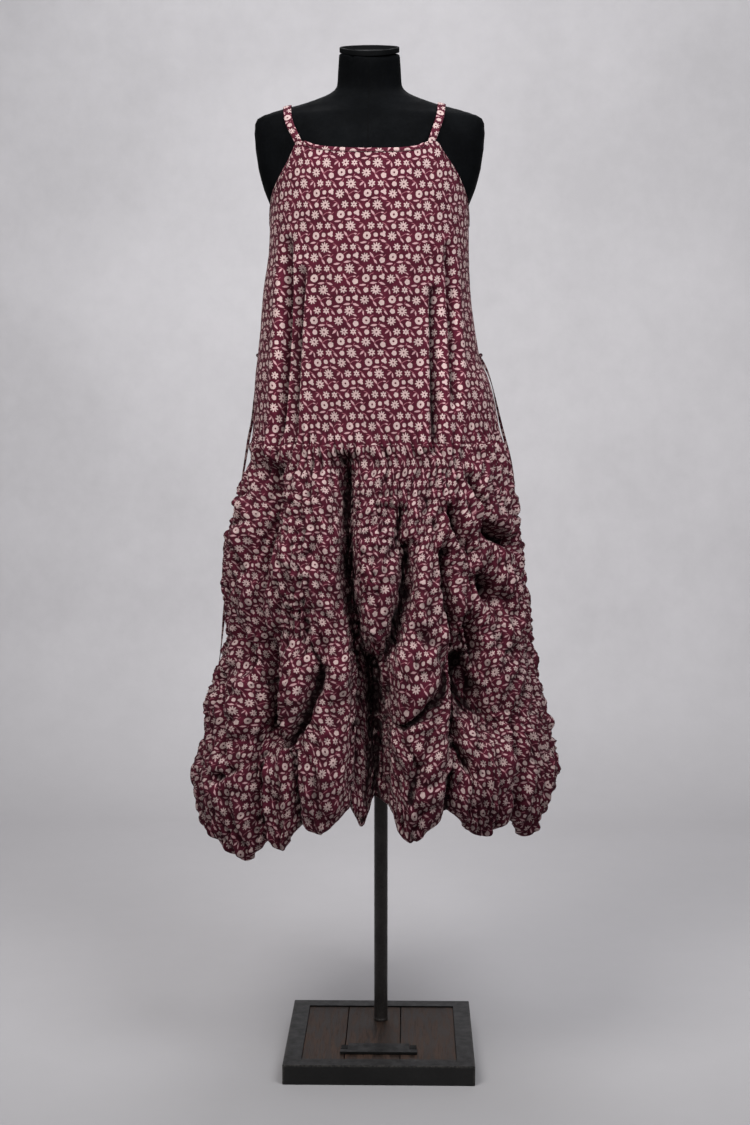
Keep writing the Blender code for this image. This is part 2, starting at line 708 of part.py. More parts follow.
def build_bindings():
    """Bindings along the bodice's top edge, lying on its outer face."""
    for name, (start, end, count) in BINDINGS.items():
        angles = np.radians(np.linspace(start, end, count))
        angle, down = np.meshgrid(angles, (0.0004, BINDING_WIDE / 2, BINDING_WIDE))
        share = down / (top_edge(angle) - WAIST_Z)
        normal = facing(bodice_point, angle, share)
        lift = CLOTH / 2 + GAP + TRIM / 2
        middle = bodice_point(angle, share) + normal * lift
        wall(name, middle, normal, TRIM, "print_cotton")


# ---------------------------------------------------------------- the form


def form_reach(z, s, c, shrink=0.0):
    """How far the form reaches from its axis in a direction, at its row z."""
    half, front, back, _, chest, arm = (curve(FORM, z, k) for k in range(1, 7))
    deep = np.where(c < 0, front, back) - shrink
    wide = (half**8 - chest**8) ** 0.125 - shrink
    chest, arm = chest - shrink, arm - shrink
    body = (np.abs(s / chest) ** 2.1 + np.abs(c / deep) ** 2.1) ** (-1 / 2.1)
    arms = (np.abs(s / wide) ** 2.7 + np.abs(c / arm) ** 2.7) ** (-1 / 2.7)
    return (body**8 + arms**8) ** 0.125


def form_ring(z, shrink=0.0):
    turn = np.linspace(0, 2 * pi, FORM_SIDES, endpoint=False)
    s, c = np.sin(turn), -np.cos(turn)
    r = form_reach(z, s, c, shrink)
    x, y = FORM_X + r * s, r * c
    return np.stack([x, y, z + curve(FORM, z, 4) * y], -1)


def in_form(x, y, z):
    low = z - curve(FORM, z, 4) * y
    away = np.hypot(x - FORM_X, y)
    return away < form_reach(low, (x - FORM_X) / away, y / away)


def form_exit(x, turn):
    """Where a ray in the plane of this x leaves the form; turn 0 is to the front."""
    start = np.array([x, 0.0, 1.4400])
    way = np.array([0.0, -np.cos(turn), np.sin(turn)])
    near, far = 0.0, 0.16
    for _ in range(24):
        half = (near + far) / 2
        if in_form(*(start + way * half)):
            near = half
        else:
            far = half
    return start + way * near


def build_torso():
    low = FORM[0][0]
    cap = NECK_TOP - CAP_HIGH
    chest = [row[0] for row in FORM if row[0] > 1.30]
    heights = [low, low + 0.004, *np.linspace(low + 0.012, 1.30, 14), *chest, cap - GAP]
    loops = [form_ring(z) for z in heights]
    loops[0] = form_ring(low, 0.006)
    rings("form_torso", loops, "form_cloth")


def build_neck_cap():
    """A low rim round a shallow dish."""
    low = NECK_TOP - CAP_HIGH
    profile = (
        # z, in from the neck's outline
        (low, 0.0004),
        (low + 0.0008, -0.0004),
        (NECK_TOP - 0.0008, -0.0002),
        (NECK_TOP, 0.0012),
        (NECK_TOP, CAP_LIP),
        (NECK_TOP - 0.8 * DISH_DEEP, CAP_LIP + 0.0018),
        (NECK_TOP - DISH_DEEP, 0.0220),
    )
    rings("form_neck_cap", [form_ring(z, shrink) for z, shrink in profile], "form_cap")


def build_strap(name, front_x, top_x, back_x, front_angle, back_angle):
    """A strap over the shoulder, on points of the form moved out."""
    count = 21
    t = np.linspace(-1, 1, count)
    turns = np.linspace(0.10, pi - 0.04, count)
    xs = top_x + (np.where(t < 0, front_x, back_x) - top_x) * t**2
    wide = STRAP_WIDE * (1 - 0.16 * np.abs(t))
    grid = np.array(
        [
            [form_exit(x + w * k, turn) for k in (-0.5, 0.0, 0.5)]
            for x, w, turn in zip(xs, wide, turns)
        ]
    )
    along = np.gradient(grid[:, 1], axis=0)
    normal = unit(np.cross(grid[:, 2] - grid[:, 0], along))[:, None]
    middle = grid + normal * (STRAP_THICK / 2 + STRAP_LIFT)
    # Each end rises off the form to meet the bodice's top edge.
    for end, angle in ((0, front_angle), (-1, back_angle)):
        edge = bodice_point(np.radians(angle), 0.0) + (0, 0, GAP + 0.0002)
        near_end = ease((np.abs(t) - 0.45) / 0.55) * (np.sign(t) == np.sign(t[end]))
        middle = middle + near_end[:, None, None] * (edge - middle[end, 1])
    normal = np.repeat(normal, 3, axis=1)
    wall(name, middle[::-1], normal[::-1], STRAP_THICK, "print_cotton")


def build_tie(name, route):
    """A side tie as a thin cord along a smooth line through its route."""
    route = np.array(route)
    steps = np.linalg.norm(np.diff(route, axis=0), axis=1)
    length = np.concatenate([[0], np.cumsum(steps)])
    at = np.linspace(0, length[-1], int(length[-1] / (TIE_STEP * TIE_DIAMETER)))
    line = [curve(list(zip(length, route[:, k])), at) for k in range(3)]
    data = bpy.data.curves.new(name, "CURVE")
    data.dimensions = "3D"
    data.bevel_depth = TIE_DIAMETER / 2
    data.bevel_resolution = 2
    data.use_fill_caps = True
    spline = data.splines.new("POLY")
    spline.points.add(len(at) - 1)
    for point, x, y, z in zip(spline.points, *line):
        point.co = (x, y, z, 1)
    add_object(name, data, "tie_cotton")


# ---------------------------------------------------------------- the stand


def lathe(name, profile, look, y=0.0, sides=32):
    turn = np.linspace(0, 2 * pi, sides, endpoint=False)
    circle = np.stack([np.cos(turn), np.sin(turn), 0 * turn], -1)
    rings(name, [circle * r + (0, y, z) for r, z in profile], look)


def prism(name, outline, low, high, look, bevel):
    """An upright prism on an outline that runs anticlockwise."""
    count = len(outline)
    points = [(x, y, z) for z in (low, high) for x, y in outline]
    faces = [tuple(reversed(range(count))), tuple(range(count, 2 * count))]
    for a in range(count):
        b = (a + 1) % count
        faces.append((a, b, b + count, a + count))
    thing = add_mesh(name, points, faces, look)
    rounded = thing.modifiers.new("rounded", "BEVEL")
    rounded.width = bevel
    rounded.segments = 2


def build_base():
    inner = BASE_SIDE - 2 * BASE_RIM
    frame = box(
        "base_frame",
        (BASE_SIDE, BASE_SIDE, BASE_HIGH),
        (0, 0, BASE_HIGH / 2),
        "dark_steel",
        0.0015,
    )
    pocket = box(
        "pocket",
        (inner, inner, BASE_HIGH),
        (0, 0, BASE_FLOOR + BASE_HIGH / 2),
        "dark_steel",
    )
    pocket.hide_render = True
    pocket.display_type = "WIRE"
    cut = frame.modifiers.new("pocket", "BOOLEAN")
    cut.operation = "DIFFERENCE"
    cut.object = pocket

    # The planks run from front to back in the pocket.
    edges = (GAP - inner / 2, *PLANK_CUTS, inner / 2 - GAP)
    low = BASE_FLOOR + GAP
    for k, side in enumerate(("left", "middle", "right")):
        start = edges[k] + (PLANK_JOINT / 2 if k > 0 else 0)
        end = edges[k + 1] - (PLANK_JOINT / 2 if k < 2 else 0)
        box(
            "plank_" + side,
            (end - start, inner - 2 * GAP, PLANK_TOP - low),
            ((start + end) / 2, 0, (PLANK_TOP + low) / 2),
            "plank_wood",
            0.0008,
        )


def build_pole():
    """The pole with a low collar at its foot, up to the torso's underside."""
    foot = PLANK_TOP + GAP
    lathe(
        "form_pole",
        (
            # radius, z
            (FOOT_RADIUS, foot),
            (FOOT_RADIUS, foot + FOOT_HIGH - 0.001),
            (FOOT_RADIUS - 0.001, foot + FOOT_HIGH),
            (POLE_RADIUS, foot + FOOT_HIGH),
            (POLE_RADIUS, FORM[0][0] - GAP),
        ),
        "pole_steel",
        POLE_Y,
    )


def build_plate():
    """A bare plate in front of the pole, with a small lug behind each end of its bar."""
    low = PLANK_TOP + GAP
    wide, narrow = PLATE_BAR[0] / 2, PLATE_MIDDLE[0] / 2
    bar_back = PLATE_FRONT + PLATE_BAR[1]
    back = PLATE_FRONT + PLATE_MIDDLE[1]
    half = (
        # x from the plate's middle, y
        (wide, PLATE_FRONT),
        (wide, bar_back),
        (narrow, bar_back),
        (narrow, back),
    )
    outline = [(PLATE_X + x, y) for x, y in half]
    outline += [(PLATE_X - x, y) for x, y in reversed(half)]
    prism("base_plate", outline, low, low + PLATE_HIGH, "dark_steel", 0.0006)
    for side, way in (("left", -1), ("right", 1)):
        x = PLATE_X + way * (narrow + GAP + LUG[0] / 2)
        y = bar_back + GAP + LUG[1] / 2
        box("plate_lug_" + side, LUG, (x, y, low + LUG[2] / 2), "dark_steel", 0.0004)


def main():
    clear_scene()
    build_base()
    build_pole()
    build_plate()
    build_torso()
    build_neck_cap()
    build_panels()
    build_bindings()
    for name, sizes in STRAPS.items():
        build_strap(name, *sizes)
    build_tie("side_tie_left", LEFT_TIE)
    build_tie("side_tie_right", RIGHT_TIE)


if __name__ == "__main__":
    main()
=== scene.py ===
"""A printed slip dress with a balloon skirt, on a dress form with a square stand.

Run as a script, it builds the dress, the form, the stand and a plain studio
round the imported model. Lengths are in metres. The front faces -Y, and left and
right are as seen from the front.
"""

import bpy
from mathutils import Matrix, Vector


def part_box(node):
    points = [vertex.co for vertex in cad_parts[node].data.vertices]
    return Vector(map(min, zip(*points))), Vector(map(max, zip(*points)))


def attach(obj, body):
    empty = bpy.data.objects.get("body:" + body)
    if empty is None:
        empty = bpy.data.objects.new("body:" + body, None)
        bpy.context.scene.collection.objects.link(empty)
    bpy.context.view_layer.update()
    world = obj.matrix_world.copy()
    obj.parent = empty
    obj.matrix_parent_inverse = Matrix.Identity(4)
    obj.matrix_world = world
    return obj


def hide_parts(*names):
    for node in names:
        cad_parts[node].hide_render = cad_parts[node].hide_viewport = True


bl_info = {
    "name": "Slip dress on a dress form",
    "version": (1, 0, 0),
    "blender": (4, 5, 0),
    "location": "3D View > Sidebar > Dress",
    "description": "Builds a printed slip dress on its dress form and stand",
    "category": "Object",
}

from math import cos, pi, radians, sin

import bmesh
import bpy
import numpy as np
from mathutils import Vector, noise
from mathutils.bvhtree import BVHTree

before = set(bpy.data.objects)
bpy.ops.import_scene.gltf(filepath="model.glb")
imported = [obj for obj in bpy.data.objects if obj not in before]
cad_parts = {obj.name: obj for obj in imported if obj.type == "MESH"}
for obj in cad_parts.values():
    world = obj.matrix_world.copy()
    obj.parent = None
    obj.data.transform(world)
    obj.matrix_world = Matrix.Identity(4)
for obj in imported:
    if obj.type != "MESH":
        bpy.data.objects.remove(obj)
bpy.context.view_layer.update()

# ---------------------------------------------------------------- sizes

WAIST_Z = 0.9900  # seam of the bodice and the skirt
SEAM_GAP = 0.0015  # angle from a side seam to a panel's edge
HEM_ROLL = 0.0160  # radius of the turned-under hem
HEM_INSIDE = 0.0300  # how far the hem runs up inside
HEM_INWARD = 0.35  # how far it goes in there, of its rise
HELD_Z = 1.3600  # above here the cloth is held and has no folds
FREE_Z = 1.2600  # below here they have their full depth

COLUMNS = {"front": 250, "back": 220}
BODICE_ROWS = 120
SKIRT_ROWS = 185

SKIRT_MIDDLE = 0.65  # height at which the columns are evenly spaced
CLOTH = 0.0011  # wall of the panels
SEAM_LAP = 0.0040  # the skirt's top edge over the bodice's lower one
SEAM_LAP_OUT = 0.0013
SEAM_RISE = 0.015  # the height in which the skirt comes out to lap it
STRAP_WIDE = 0.0125
STRAP_THICK = 0.0018
STRAP_LIFT = 0.0013  # its underside to the form
STRAP_BOW = 0.0004  # how far its middle stands out
STRAP_TAPER = 0.16  # how much narrower it is at its ends
STRAP_START = 0.10  # angle over level at which it starts in front
STRAP_END = 0.04  # and ends behind
STRAP_DOWN = 0.012  # how far down the bodice its ends lie, of the bodice's height
STRAP_COLUMNS = 90
TIE_WIDE = 0.0046
TIE_THICK = 0.0014
TIE_COLUMNS = 160
TIE_GROUND = (0.040, 0.006, 0.011)
TIE_PRINT = 0.45  # how full its print is
LEFT_TWIST = 11.0  # angle through which it turns from its knot to its end
RIGHT_TWIST = -9.0
KNOT_SIZE = 0.0014
KNOT_THREAD = 0.0013  # radius

# Folds: the front's and the back's against their tables, and their lips.
FRONT_WIDER = 1.18
FRONT_DEEPER = 1.12
BACK_WIDER = 0.95
BACK_DEEPER = 1.00
LIP = 0.20  # how far a fold's lips stand out, of its depth
CLOSE = 0.45  # how far they close over it, of its half width

# Gathers at the waist seam: height, how fast they die below and above it, and
# their two pitches round the dress.
GATHER = 0.0036
GATHER_BELOW = 0.065
GATHER_ABOVE = 0.022
GATHER_PITCHES = (0.0145, 0.0091)
ROUND_DRESS = 0.19  # length round the dress for an angle of 1
# Lines on which the skirt is drawn up, as x on the front and on the back.
RUCHED_FRONT = (-0.175, -0.118, -0.050, 0.010, 0.102, 0.205)
RUCHED_BACK = (-0.192, -0.112, -0.022, 0.066, 0.168, 0.226)
RUCHED_HALF = 0.016
RUCHED_PITCH = 0.0165
RUCHED_HIGH = 0.0016
# Creases: how high they are, and how large they are across, across and down.
LARGE_CREASE = (0.0160, (0.027, 0.027, 0.060))
SMALL_CREASE = (0.0060, (0.012, 0.012, 0.021))
CREASE_REST = 0.0042  # taken off again, so that they lie about the tube
BODICE_CREASE = (0.0014, (0.020, 0.020, 0.120))
FINE_CREASE = (0.0005, (0.012, 0.012, 0.018))

# Buckling: the skirt's cloth against its place, and the steps that it takes.
EXTRA_ACROSS = 1.11
EXTRA_DOWN = 1.045
CRUMPLING = 80
CRUMPLE_PULL = 0.28
CRUMPLE_HOLD = 0.012  # pull back to the first place
SEAM_HELD = 8  # columns at the side seams that stay in place, more and more
TOP_HELD = 6  # rows at the waist
INSIDE_HELD = 0.02  # share of the skirt's height past its hem
# Laying a panel flat: steps, pull, and how much of the time its top is pinned.
FLATTENING = 300
FLATTEN_PULL = 0.17
FLATTEN_PINNED = 1 / 3

# Painted shade in the hollows: how far round a point they are felt, in grid steps,
# how deep they are and how dark the painted shade gets.
HOLLOWS = ((6, 0.0042, 0.65), (13, 0.0080, 1.0), (30, 0.0200, 1.0))
CREASED = 0.42  # how dark the painted shade on the skirt's crease lines is, of a deep hollow's
CREASE_LINES = ((0.016, 4.4), (0.031, 8.8))  # size, seed
CREASE_LINE = 0.075  # half width of a line, of its noise
CREASED_FROM = 0.10  # height under the waist in which they grow to full

POLE_Y = 0.0620  # the pole stands behind the middle of the stand
POLE_RADIUS = 0.0112
POLE_SIDES = 64
FOOT_RADIUS = 0.0117
FOOT_HIGH = 0.0040
FORM_X = -0.0172  # middle of the form
FORM_CORE_Z = 1.44  # a height inside it, under the shoulders
NECK_SIDES = 96
NECK_TOP = 1.6080
NECK_SLOPE = 0.30  # rise of the neck's top edge per metre toward the back
NECK = (0.0478, 0.0555, 0.0335)  # half width, front and back depth
NECK_CORE = (0.0420, 0.0250)  # half width of its round body, depth of its sides
DISH_DEEP = 0.0060
# The form's and the stand's colours, of their own settings.
CAP_SHARE = 0.7
PLATE_SHARE = 0.55
LUG_SHARE = 0.15
GRAIN_SHIFT = 0.61  # from one plank's grain to the next

# Dress sections: height, left and right edge seen from the front, front and
# back depth, and how square the section is (2 is an ellipse).
DRESS = (
    # z, left, right, front, back, square
    (1.4700, -0.1660, 0.1320, 0.1010, 0.1000, 2.40),
    (1.4400, -0.1680, 0.1340, 0.1105, 0.1030, 2.40),
    (1.4000, -0.1705, 0.1362, 0.1200, 0.1060, 2.40),
    (1.3370, -0.1724, 0.1376, 0.1285, 0.1050, 2.40),
    (1.2960, -0.1739, 0.1380, 0.1320, 0.1050, 2.40),
    (1.2340, -0.1829, 0.1405, 0.1350, 0.1090, 2.30),
    (1.1710, -0.1888, 0.1483, 0.1390, 0.1170, 2.25),
    (1.1290, -0.1931, 0.1560, 0.1420, 0.1220, 2.25),
    (1.0930, -0.1972, 0.1700, 0.1450, 0.1270, 2.25),
    (1.0610, -0.1990, 0.1790, 0.1480, 0.1320, 2.25),
    (0.9980, -0.2002, 0.1896, 0.1550, 0.1420, 2.25),
    (0.9660, -0.2014, 0.2010, 0.1610, 0.1490, 2.25),
    (0.9340, -0.2140, 0.2065, 0.1690, 0.1560, 2.25),
    (0.9020, -0.2240, 0.2120, 0.1760, 0.1640, 2.25),
    (0.8380, -0.2410, 0.2190, 0.1880, 0.1770, 2.25),
    (0.7740, -0.2465, 0.2270, 0.1970, 0.1870, 2.25),
    (0.7100, -0.2385, 0.2320, 0.2040, 0.1950, 2.25),
    (0.6450, -0.2530, 0.2430, 0.2130, 0.2040, 2.25),
    (0.5800, -0.2740, 0.2600, 0.2220, 0.2140, 2.25),
    (0.5300, -0.2790, 0.2690, 0.2280, 0.2200, 2.25),
    (0.4810, -0.2950, 0.2815, 0.2320, 0.2240, 2.25),
    (0.4480, -0.2940, 0.2740, 0.2330, 0.2250, 2.25),
    (0.4150, -0.2910, 0.2650, 0.2330, 0.2250, 2.25),
    (0.3300, -0.2850, 0.2600, 0.2310, 0.2230, 2.25),
)

# Top edge of the bodice: angle from the middle of the front, in degrees
# (minus is the left), and height.
FRONT_EDGE = (
    # angle, z
    (-90, 1.3370),
    (-82, 1.3560),
    (-74, 1.3760),
    (-66, 1.3950),
    (-59, 1.4150),
    (-55, 1.4350),
    (-52.5, 1.4500),
    (-48, 1.4515),
    (-44, 1.4480),
    (-36, 1.4425),
    (-20, 1.4385),
    (0, 1.4372),
    (20, 1.4378),
    (34, 1.4410),
    (42, 1.4480),
    (46, 1.4520),
    (50.5, 1.4500),
    (54, 1.4340),
    (60, 1.4150),
    (68, 1.3920),
    (76, 1.3720),
    (84, 1.3520),
    (90, 1.3370),
)
BACK_EDGE = (
    # angle, z
    (90, 1.3370),
    (98, 1.3500),
    (108, 1.3700),
    (118, 1.3930),
    (125, 1.4150),
    (129.5, 1.4340),
    (134, 1.4370),
    (142, 1.4300),
    (156, 1.4250),
    (180, 1.4240),
    (204, 1.4250),
    (218, 1.4300),
    (226, 1.4370),
    (230.5, 1.4340),
    (235, 1.4150),
    (242, 1.3930),
    (252, 1.3700),
    (262, 1.3500),
    (270, 1.3370),
)

# Hem of the skirt as hanging lobes and drawn-up valleys: x and height.
FRONT_HEM = (
    # x, z
    (-0.292, 0.400),
    (-0.278, 0.388),
    (-0.248, 0.380),
    (-0.211, 0.362),
    (-0.169, 0.400),
    (-0.151, 0.390),
    (-0.118, 0.434),
    (-0.090, 0.420),
    (-0.053, 0.462),
    (-0.028, 0.426),
    (-0.010, 0.466),
    (0.015, 0.464),
    (0.051, 0.410),
    (0.101, 0.460),
    (0.138, 0.422),
    (0.162, 0.408),
    (0.203, 0.428),
    (0.237, 0.390),
    (0.268, 0.422),
    (0.276, 0.440),
)
BACK_HEM = (
    # x, z
    (-0.288, 0.390),
    (-0.252, 0.372),
    (-0.208, 0.408),
    (-0.162, 0.376),
    (-0.122, 0.418),
    (-0.070, 0.380),
    (-0.020, 0.424),
    (0.026, 0.384),
    (0.070, 0.416),
    (0.118, 0.372),
    (0.164, 0.414),
    (0.212, 0.378),
    (0.254, 0.426),
    (0.270, 0.450),
)

# Folds drawn in, as seen from the front: the run from top to bottom through a
# middle point, half width and depth.
FRONT_FOLDS = (
    # x, z, x, z, x, z, half, depth
    (-0.166, 0.940, -0.169, 0.880, -0.184, 0.800, 0.024, 0.058),
    (-0.182, 0.790, -0.180, 0.727, -0.170, 0.677, 0.014, 0.036),
    (-0.170, 0.688, -0.162, 0.612, -0.163, 0.558, 0.023, 0.066),
    (-0.175, 0.578, -0.159, 0.555, -0.135, 0.552, 0.009, 0.030),
    (-0.052, 0.962, -0.050, 0.897, -0.047, 0.806, 0.017, 0.044),
    (-0.047, 0.836, -0.040, 0.750, -0.025, 0.681, 0.021, 0.058),
    (-0.018, 0.698, -0.009, 0.617, -0.006, 0.450, 0.030, 0.078),
    (0.041, 0.841, 0.038, 0.776, 0.021, 0.683, 0.012, 0.044),
    (0.034, 0.897, 0.028, 0.865, 0.019, 0.835, 0.007, 0.020),
    (0.106, 0.899, 0.115, 0.874, 0.133, 0.840, 0.008, 0.024),
    (0.158, 0.870, 0.178, 0.856, 0.205, 0.838, 0.013, 0.038),
    (0.155, 0.788, 0.169, 0.770, 0.181, 0.752, 0.016, 0.044),
    (0.097, 0.831, 0.101, 0.763, 0.110, 0.692, 0.012, 0.038),
    (0.138, 0.737, 0.150, 0.701, 0.167, 0.655, 0.012, 0.042),
    (0.130, 0.686, 0.139, 0.637, 0.156, 0.588, 0.031, 0.072),
    (0.103, 0.639, 0.103, 0.583, 0.110, 0.533, 0.012, 0.038),
    (0.109, 0.548, 0.121, 0.531, 0.134, 0.513, 0.008, 0.026),
    (0.086, 0.669, 0.068, 0.623, 0.046, 0.597, 0.008, 0.030),
    (-0.214, 0.719, -0.206, 0.683, -0.197, 0.642, 0.012, 0.036),
    (-0.243, 0.631, -0.233, 0.583, -0.224, 0.531, 0.010, 0.030),
    (-0.088, 0.663, -0.103, 0.601, -0.125, 0.555, 0.008, 0.032),
    (-0.188, 0.629, -0.185, 0.520, -0.188, 0.389, 0.007, 0.014),
    (-0.055, 0.705, -0.052, 0.588, -0.055, 0.461, 0.008, 0.018),
    (0.063, 0.541, 0.058, 0.514, 0.052, 0.488, 0.008, 0.014),
    (0.103, 0.513, 0.101, 0.483, 0.100, 0.456, 0.009, 0.020),
    (0.205, 0.605, 0.202, 0.517, 0.203, 0.427, 0.008, 0.016),
    (-0.118, 0.548, -0.118, 0.482, -0.116, 0.432, 0.008, 0.018),
    (-0.174, 0.539, -0.175, 0.462, -0.172, 0.398, 0.007, 0.016),
    (-0.227, 0.758, -0.222, 0.743, -0.215, 0.725, 0.009, 0.016),
    (0.138, 0.943, 0.150, 0.913, 0.164, 0.891, 0.008, 0.016),
    (-0.233, 0.495, -0.220, 0.500, -0.205, 0.511, 0.008, 0.012),
    (-0.139, 1.299, -0.144, 1.167, -0.155, 0.982, 0.009, 0.022),
    (-0.117, 1.253, -0.123, 1.166, -0.131, 1.000, 0.008, 0.016),
    (0.083, 1.223, 0.084, 1.106, 0.086, 0.986, 0.008, 0.018),
    (0.104, 1.291, 0.111, 1.167, 0.115, 1.061, 0.008, 0.016),
)
BACK_FOLDS = (
    # x, z, x, z, x, z, half, depth
    (-0.190, 0.930, -0.196, 0.860, -0.192, 0.780, 0.016, 0.024),
    (-0.188, 0.720, -0.184, 0.650, -0.190, 0.570, 0.016, 0.027),
    (-0.120, 0.950, -0.116, 0.880, -0.124, 0.815, 0.015, 0.020),
    (-0.128, 0.780, -0.118, 0.700, -0.108, 0.640, 0.015, 0.025),
    (-0.018, 0.960, -0.014, 0.840, -0.020, 0.720, 0.016, 0.029),
    (-0.022, 0.700, -0.026, 0.580, -0.022, 0.440, 0.019, 0.034),
    (0.076, 0.860, 0.070, 0.740, 0.058, 0.640, 0.015, 0.025),
    (0.118, 0.700, 0.112, 0.620, 0.118, 0.440, 0.016, 0.027),
    (0.168, 0.850, 0.172, 0.740, 0.166, 0.660, 0.015, 0.025),
    (0.200, 0.620, 0.204, 0.540, 0.202, 0.430, 0.015, 0.020),
    (-0.068, 0.650, -0.086, 0.590, -0.112, 0.560, 0.014, 0.020),
    (-0.160, 0.600, -0.162, 0.520, -0.168, 0.410, 0.015, 0.017),
    (-0.236, 0.880, -0.242, 0.800, -0.236, 0.720, 0.016, 0.016),
    (0.216, 0.900, 0.224, 0.820, 0.226, 0.740, 0.016, 0.016),
    (-0.262, 0.560, -0.268, 0.480, -0.262, 0.400, 0.015, 0.016),
    (0.246, 0.540, 0.250, 0.470, 0.246, 0.410, 0.015, 0.014),
    (-0.140, 1.290, -0.147, 1.160, -0.152, 1.000, 0.015, 0.012),
    (-0.030, 1.330, -0.032, 1.200, -0.028, 1.010, 0.017, 0.008),
    (0.102, 1.280, 0.108, 1.150, 0.114, 1.000, 0.015, 0.012),
)

# Cloth that stands out between the folds: place, half width, half height,
# rise, and how far its lower part sags.
FRONT_PUFFS = (
    # x, z, half width, half height, rise, sag
    (-0.190, 0.863, 0.030, 0.068, 0.006, 0.000),
    (-0.130, 0.799, 0.030, 0.061, 0.014, 0.008),
    (-0.200, 0.756, 0.027, 0.043, 0.010, 0.006),
    (-0.196, 0.622, 0.027, 0.076, 0.014, 0.008),
    (-0.084, 0.852, 0.027, 0.137, 0.012, 0.006),
    (-0.000, 0.779, 0.033, 0.106, 0.022, 0.016),
    (0.062, 0.749, 0.033, 0.129, 0.020, 0.010),
    (0.051, 0.646, 0.036, 0.055, 0.022, 0.018),
    (0.138, 0.880, 0.036, 0.061, 0.009, 0.008),
    (0.193, 0.756, 0.033, 0.070, 0.016, 0.014),
    (0.172, 0.647, 0.036, 0.061, 0.014, 0.016),
    (-0.118, 0.629, 0.026, 0.076, 0.024, 0.020),
    (-0.230, 0.484, 0.049, 0.079, 0.024, 0.014),
    (-0.144, 0.465, 0.030, 0.067, 0.006, 0.010),
    (-0.086, 0.498, 0.036, 0.067, 0.024, 0.010),
    (-0.029, 0.485, 0.018, 0.061, 0.006, 0.004),
    (0.060, 0.514, 0.049, 0.091, 0.028, 0.014),
    (0.159, 0.523, 0.055, 0.085, 0.022, 0.014),
    (0.238, 0.496, 0.036, 0.085, 0.018, 0.012),
)
BACK_PUFFS = (
    # x, z, half width, half height, rise, sag
    (-0.165, 0.850, 0.034, 0.080, 0.014, 0.003),
    (-0.160, 0.690, 0.030, 0.072, 0.022, 0.006),
    (-0.070, 0.760, 0.034, 0.110, 0.020, 0.005),
    (-0.062, 0.880, 0.030, 0.060, 0.010, 0.001),
    (0.016, 0.800, 0.032, 0.110, 0.020, 0.004),
    (0.024, 0.690, 0.034, 0.060, 0.022, 0.006),
    (0.110, 0.780, 0.034, 0.080, 0.018, 0.005),
    (0.160, 0.880, 0.030, 0.056, 0.012, 0.002),
    (0.190, 0.730, 0.026, 0.060, 0.012, 0.004),
    (0.090, 0.660, 0.026, 0.050, 0.014, 0.004),
    (-0.235, 0.490, 0.046, 0.080, 0.020, 0.004),
    (-0.120, 0.490, 0.050, 0.085, 0.024, 0.005),
    (-0.060, 0.500, 0.034, 0.070, 0.018, 0.004),
    (0.024, 0.490, 0.044, 0.080, 0.024, 0.004),
    (0.112, 0.480, 0.046, 0.080, 0.024, 0.005),
    (0.170, 0.500, 0.034, 0.076, 0.018, 0.004),
    (0.240, 0.490, 0.030, 0.080, 0.014, 0.004),
)

# Routes of the side ties, from the side seam down to the free end.
LEFT_TIE = (
    # x, y, z
    (-0.1940, 0.024, 1.129),
    (-0.1990, 0.026, 1.100),
    (-0.2030, 0.028, 1.060),
    (-0.2060, 0.030, 1.030),
    (-0.2120, 0.030, 1.000),
    (-0.2170, 0.030, 0.970),
    (-0.2220, 0.030, 0.940),
    (-0.2270, 0.030, 0.905),
    (-0.2340, 0.032, 0.875),
    (-0.2430, 0.034, 0.835),
    (-0.2495, 0.034, 0.790),
    (-0.2515, 0.032, 0.745),
    (-0.2550, 0.030, 0.705),
    (-0.2590, 0.030, 0.665),
    (-0.2635, 0.030, 0.628),
)
RIGHT_TIE = (
    # x, y, z
    (0.1573, 0.024, 1.129),
    (0.1655, 0.026, 1.116),
    (0.1735, 0.028, 1.098),
    (0.1795, 0.030, 1.078),
    (0.1860, 0.030, 1.050),
    (0.1930, 0.030, 1.020),
    (0.1995, 0.030, 0.996),
    (0.2060, 0.030, 0.972),
    (0.2110, 0.030, 0.948),
    (0.2145, 0.030, 0.920),
    (0.2170, 0.030, 0.890),
    (0.2210, 0.030, 0.855),
    (0.2260, 0.030, 0.820),
    (0.2295, 0.030, 0.780),
    (0.2315, 0.030, 0.735),
)

# Straps: x at the front edge, on the shoulder and at the back edge, and the
# angles round the dress at which its ends meet the bodice.
STRAPS = {
    "strap_left": (-0.1289, -0.1446, -0.1080, -50.3, 228.0),
    "strap_right": (0.0835, 0.0950, 0.0740, 46.0, 132.0),
}
# Bindings along the bodice's top edge: first and last angle, columns.
BINDINGS = {
    "neck_binding_front": (-47.0, 41.0, 120),
    "neck_binding_back": (136.0, 224.0, 110),
    "armhole_binding_left": (-128.5, -53.5, 110),
    "armhole_binding_right": (51.5, 128.5, 110),
}


# ---------------------------------------------------------------- curves


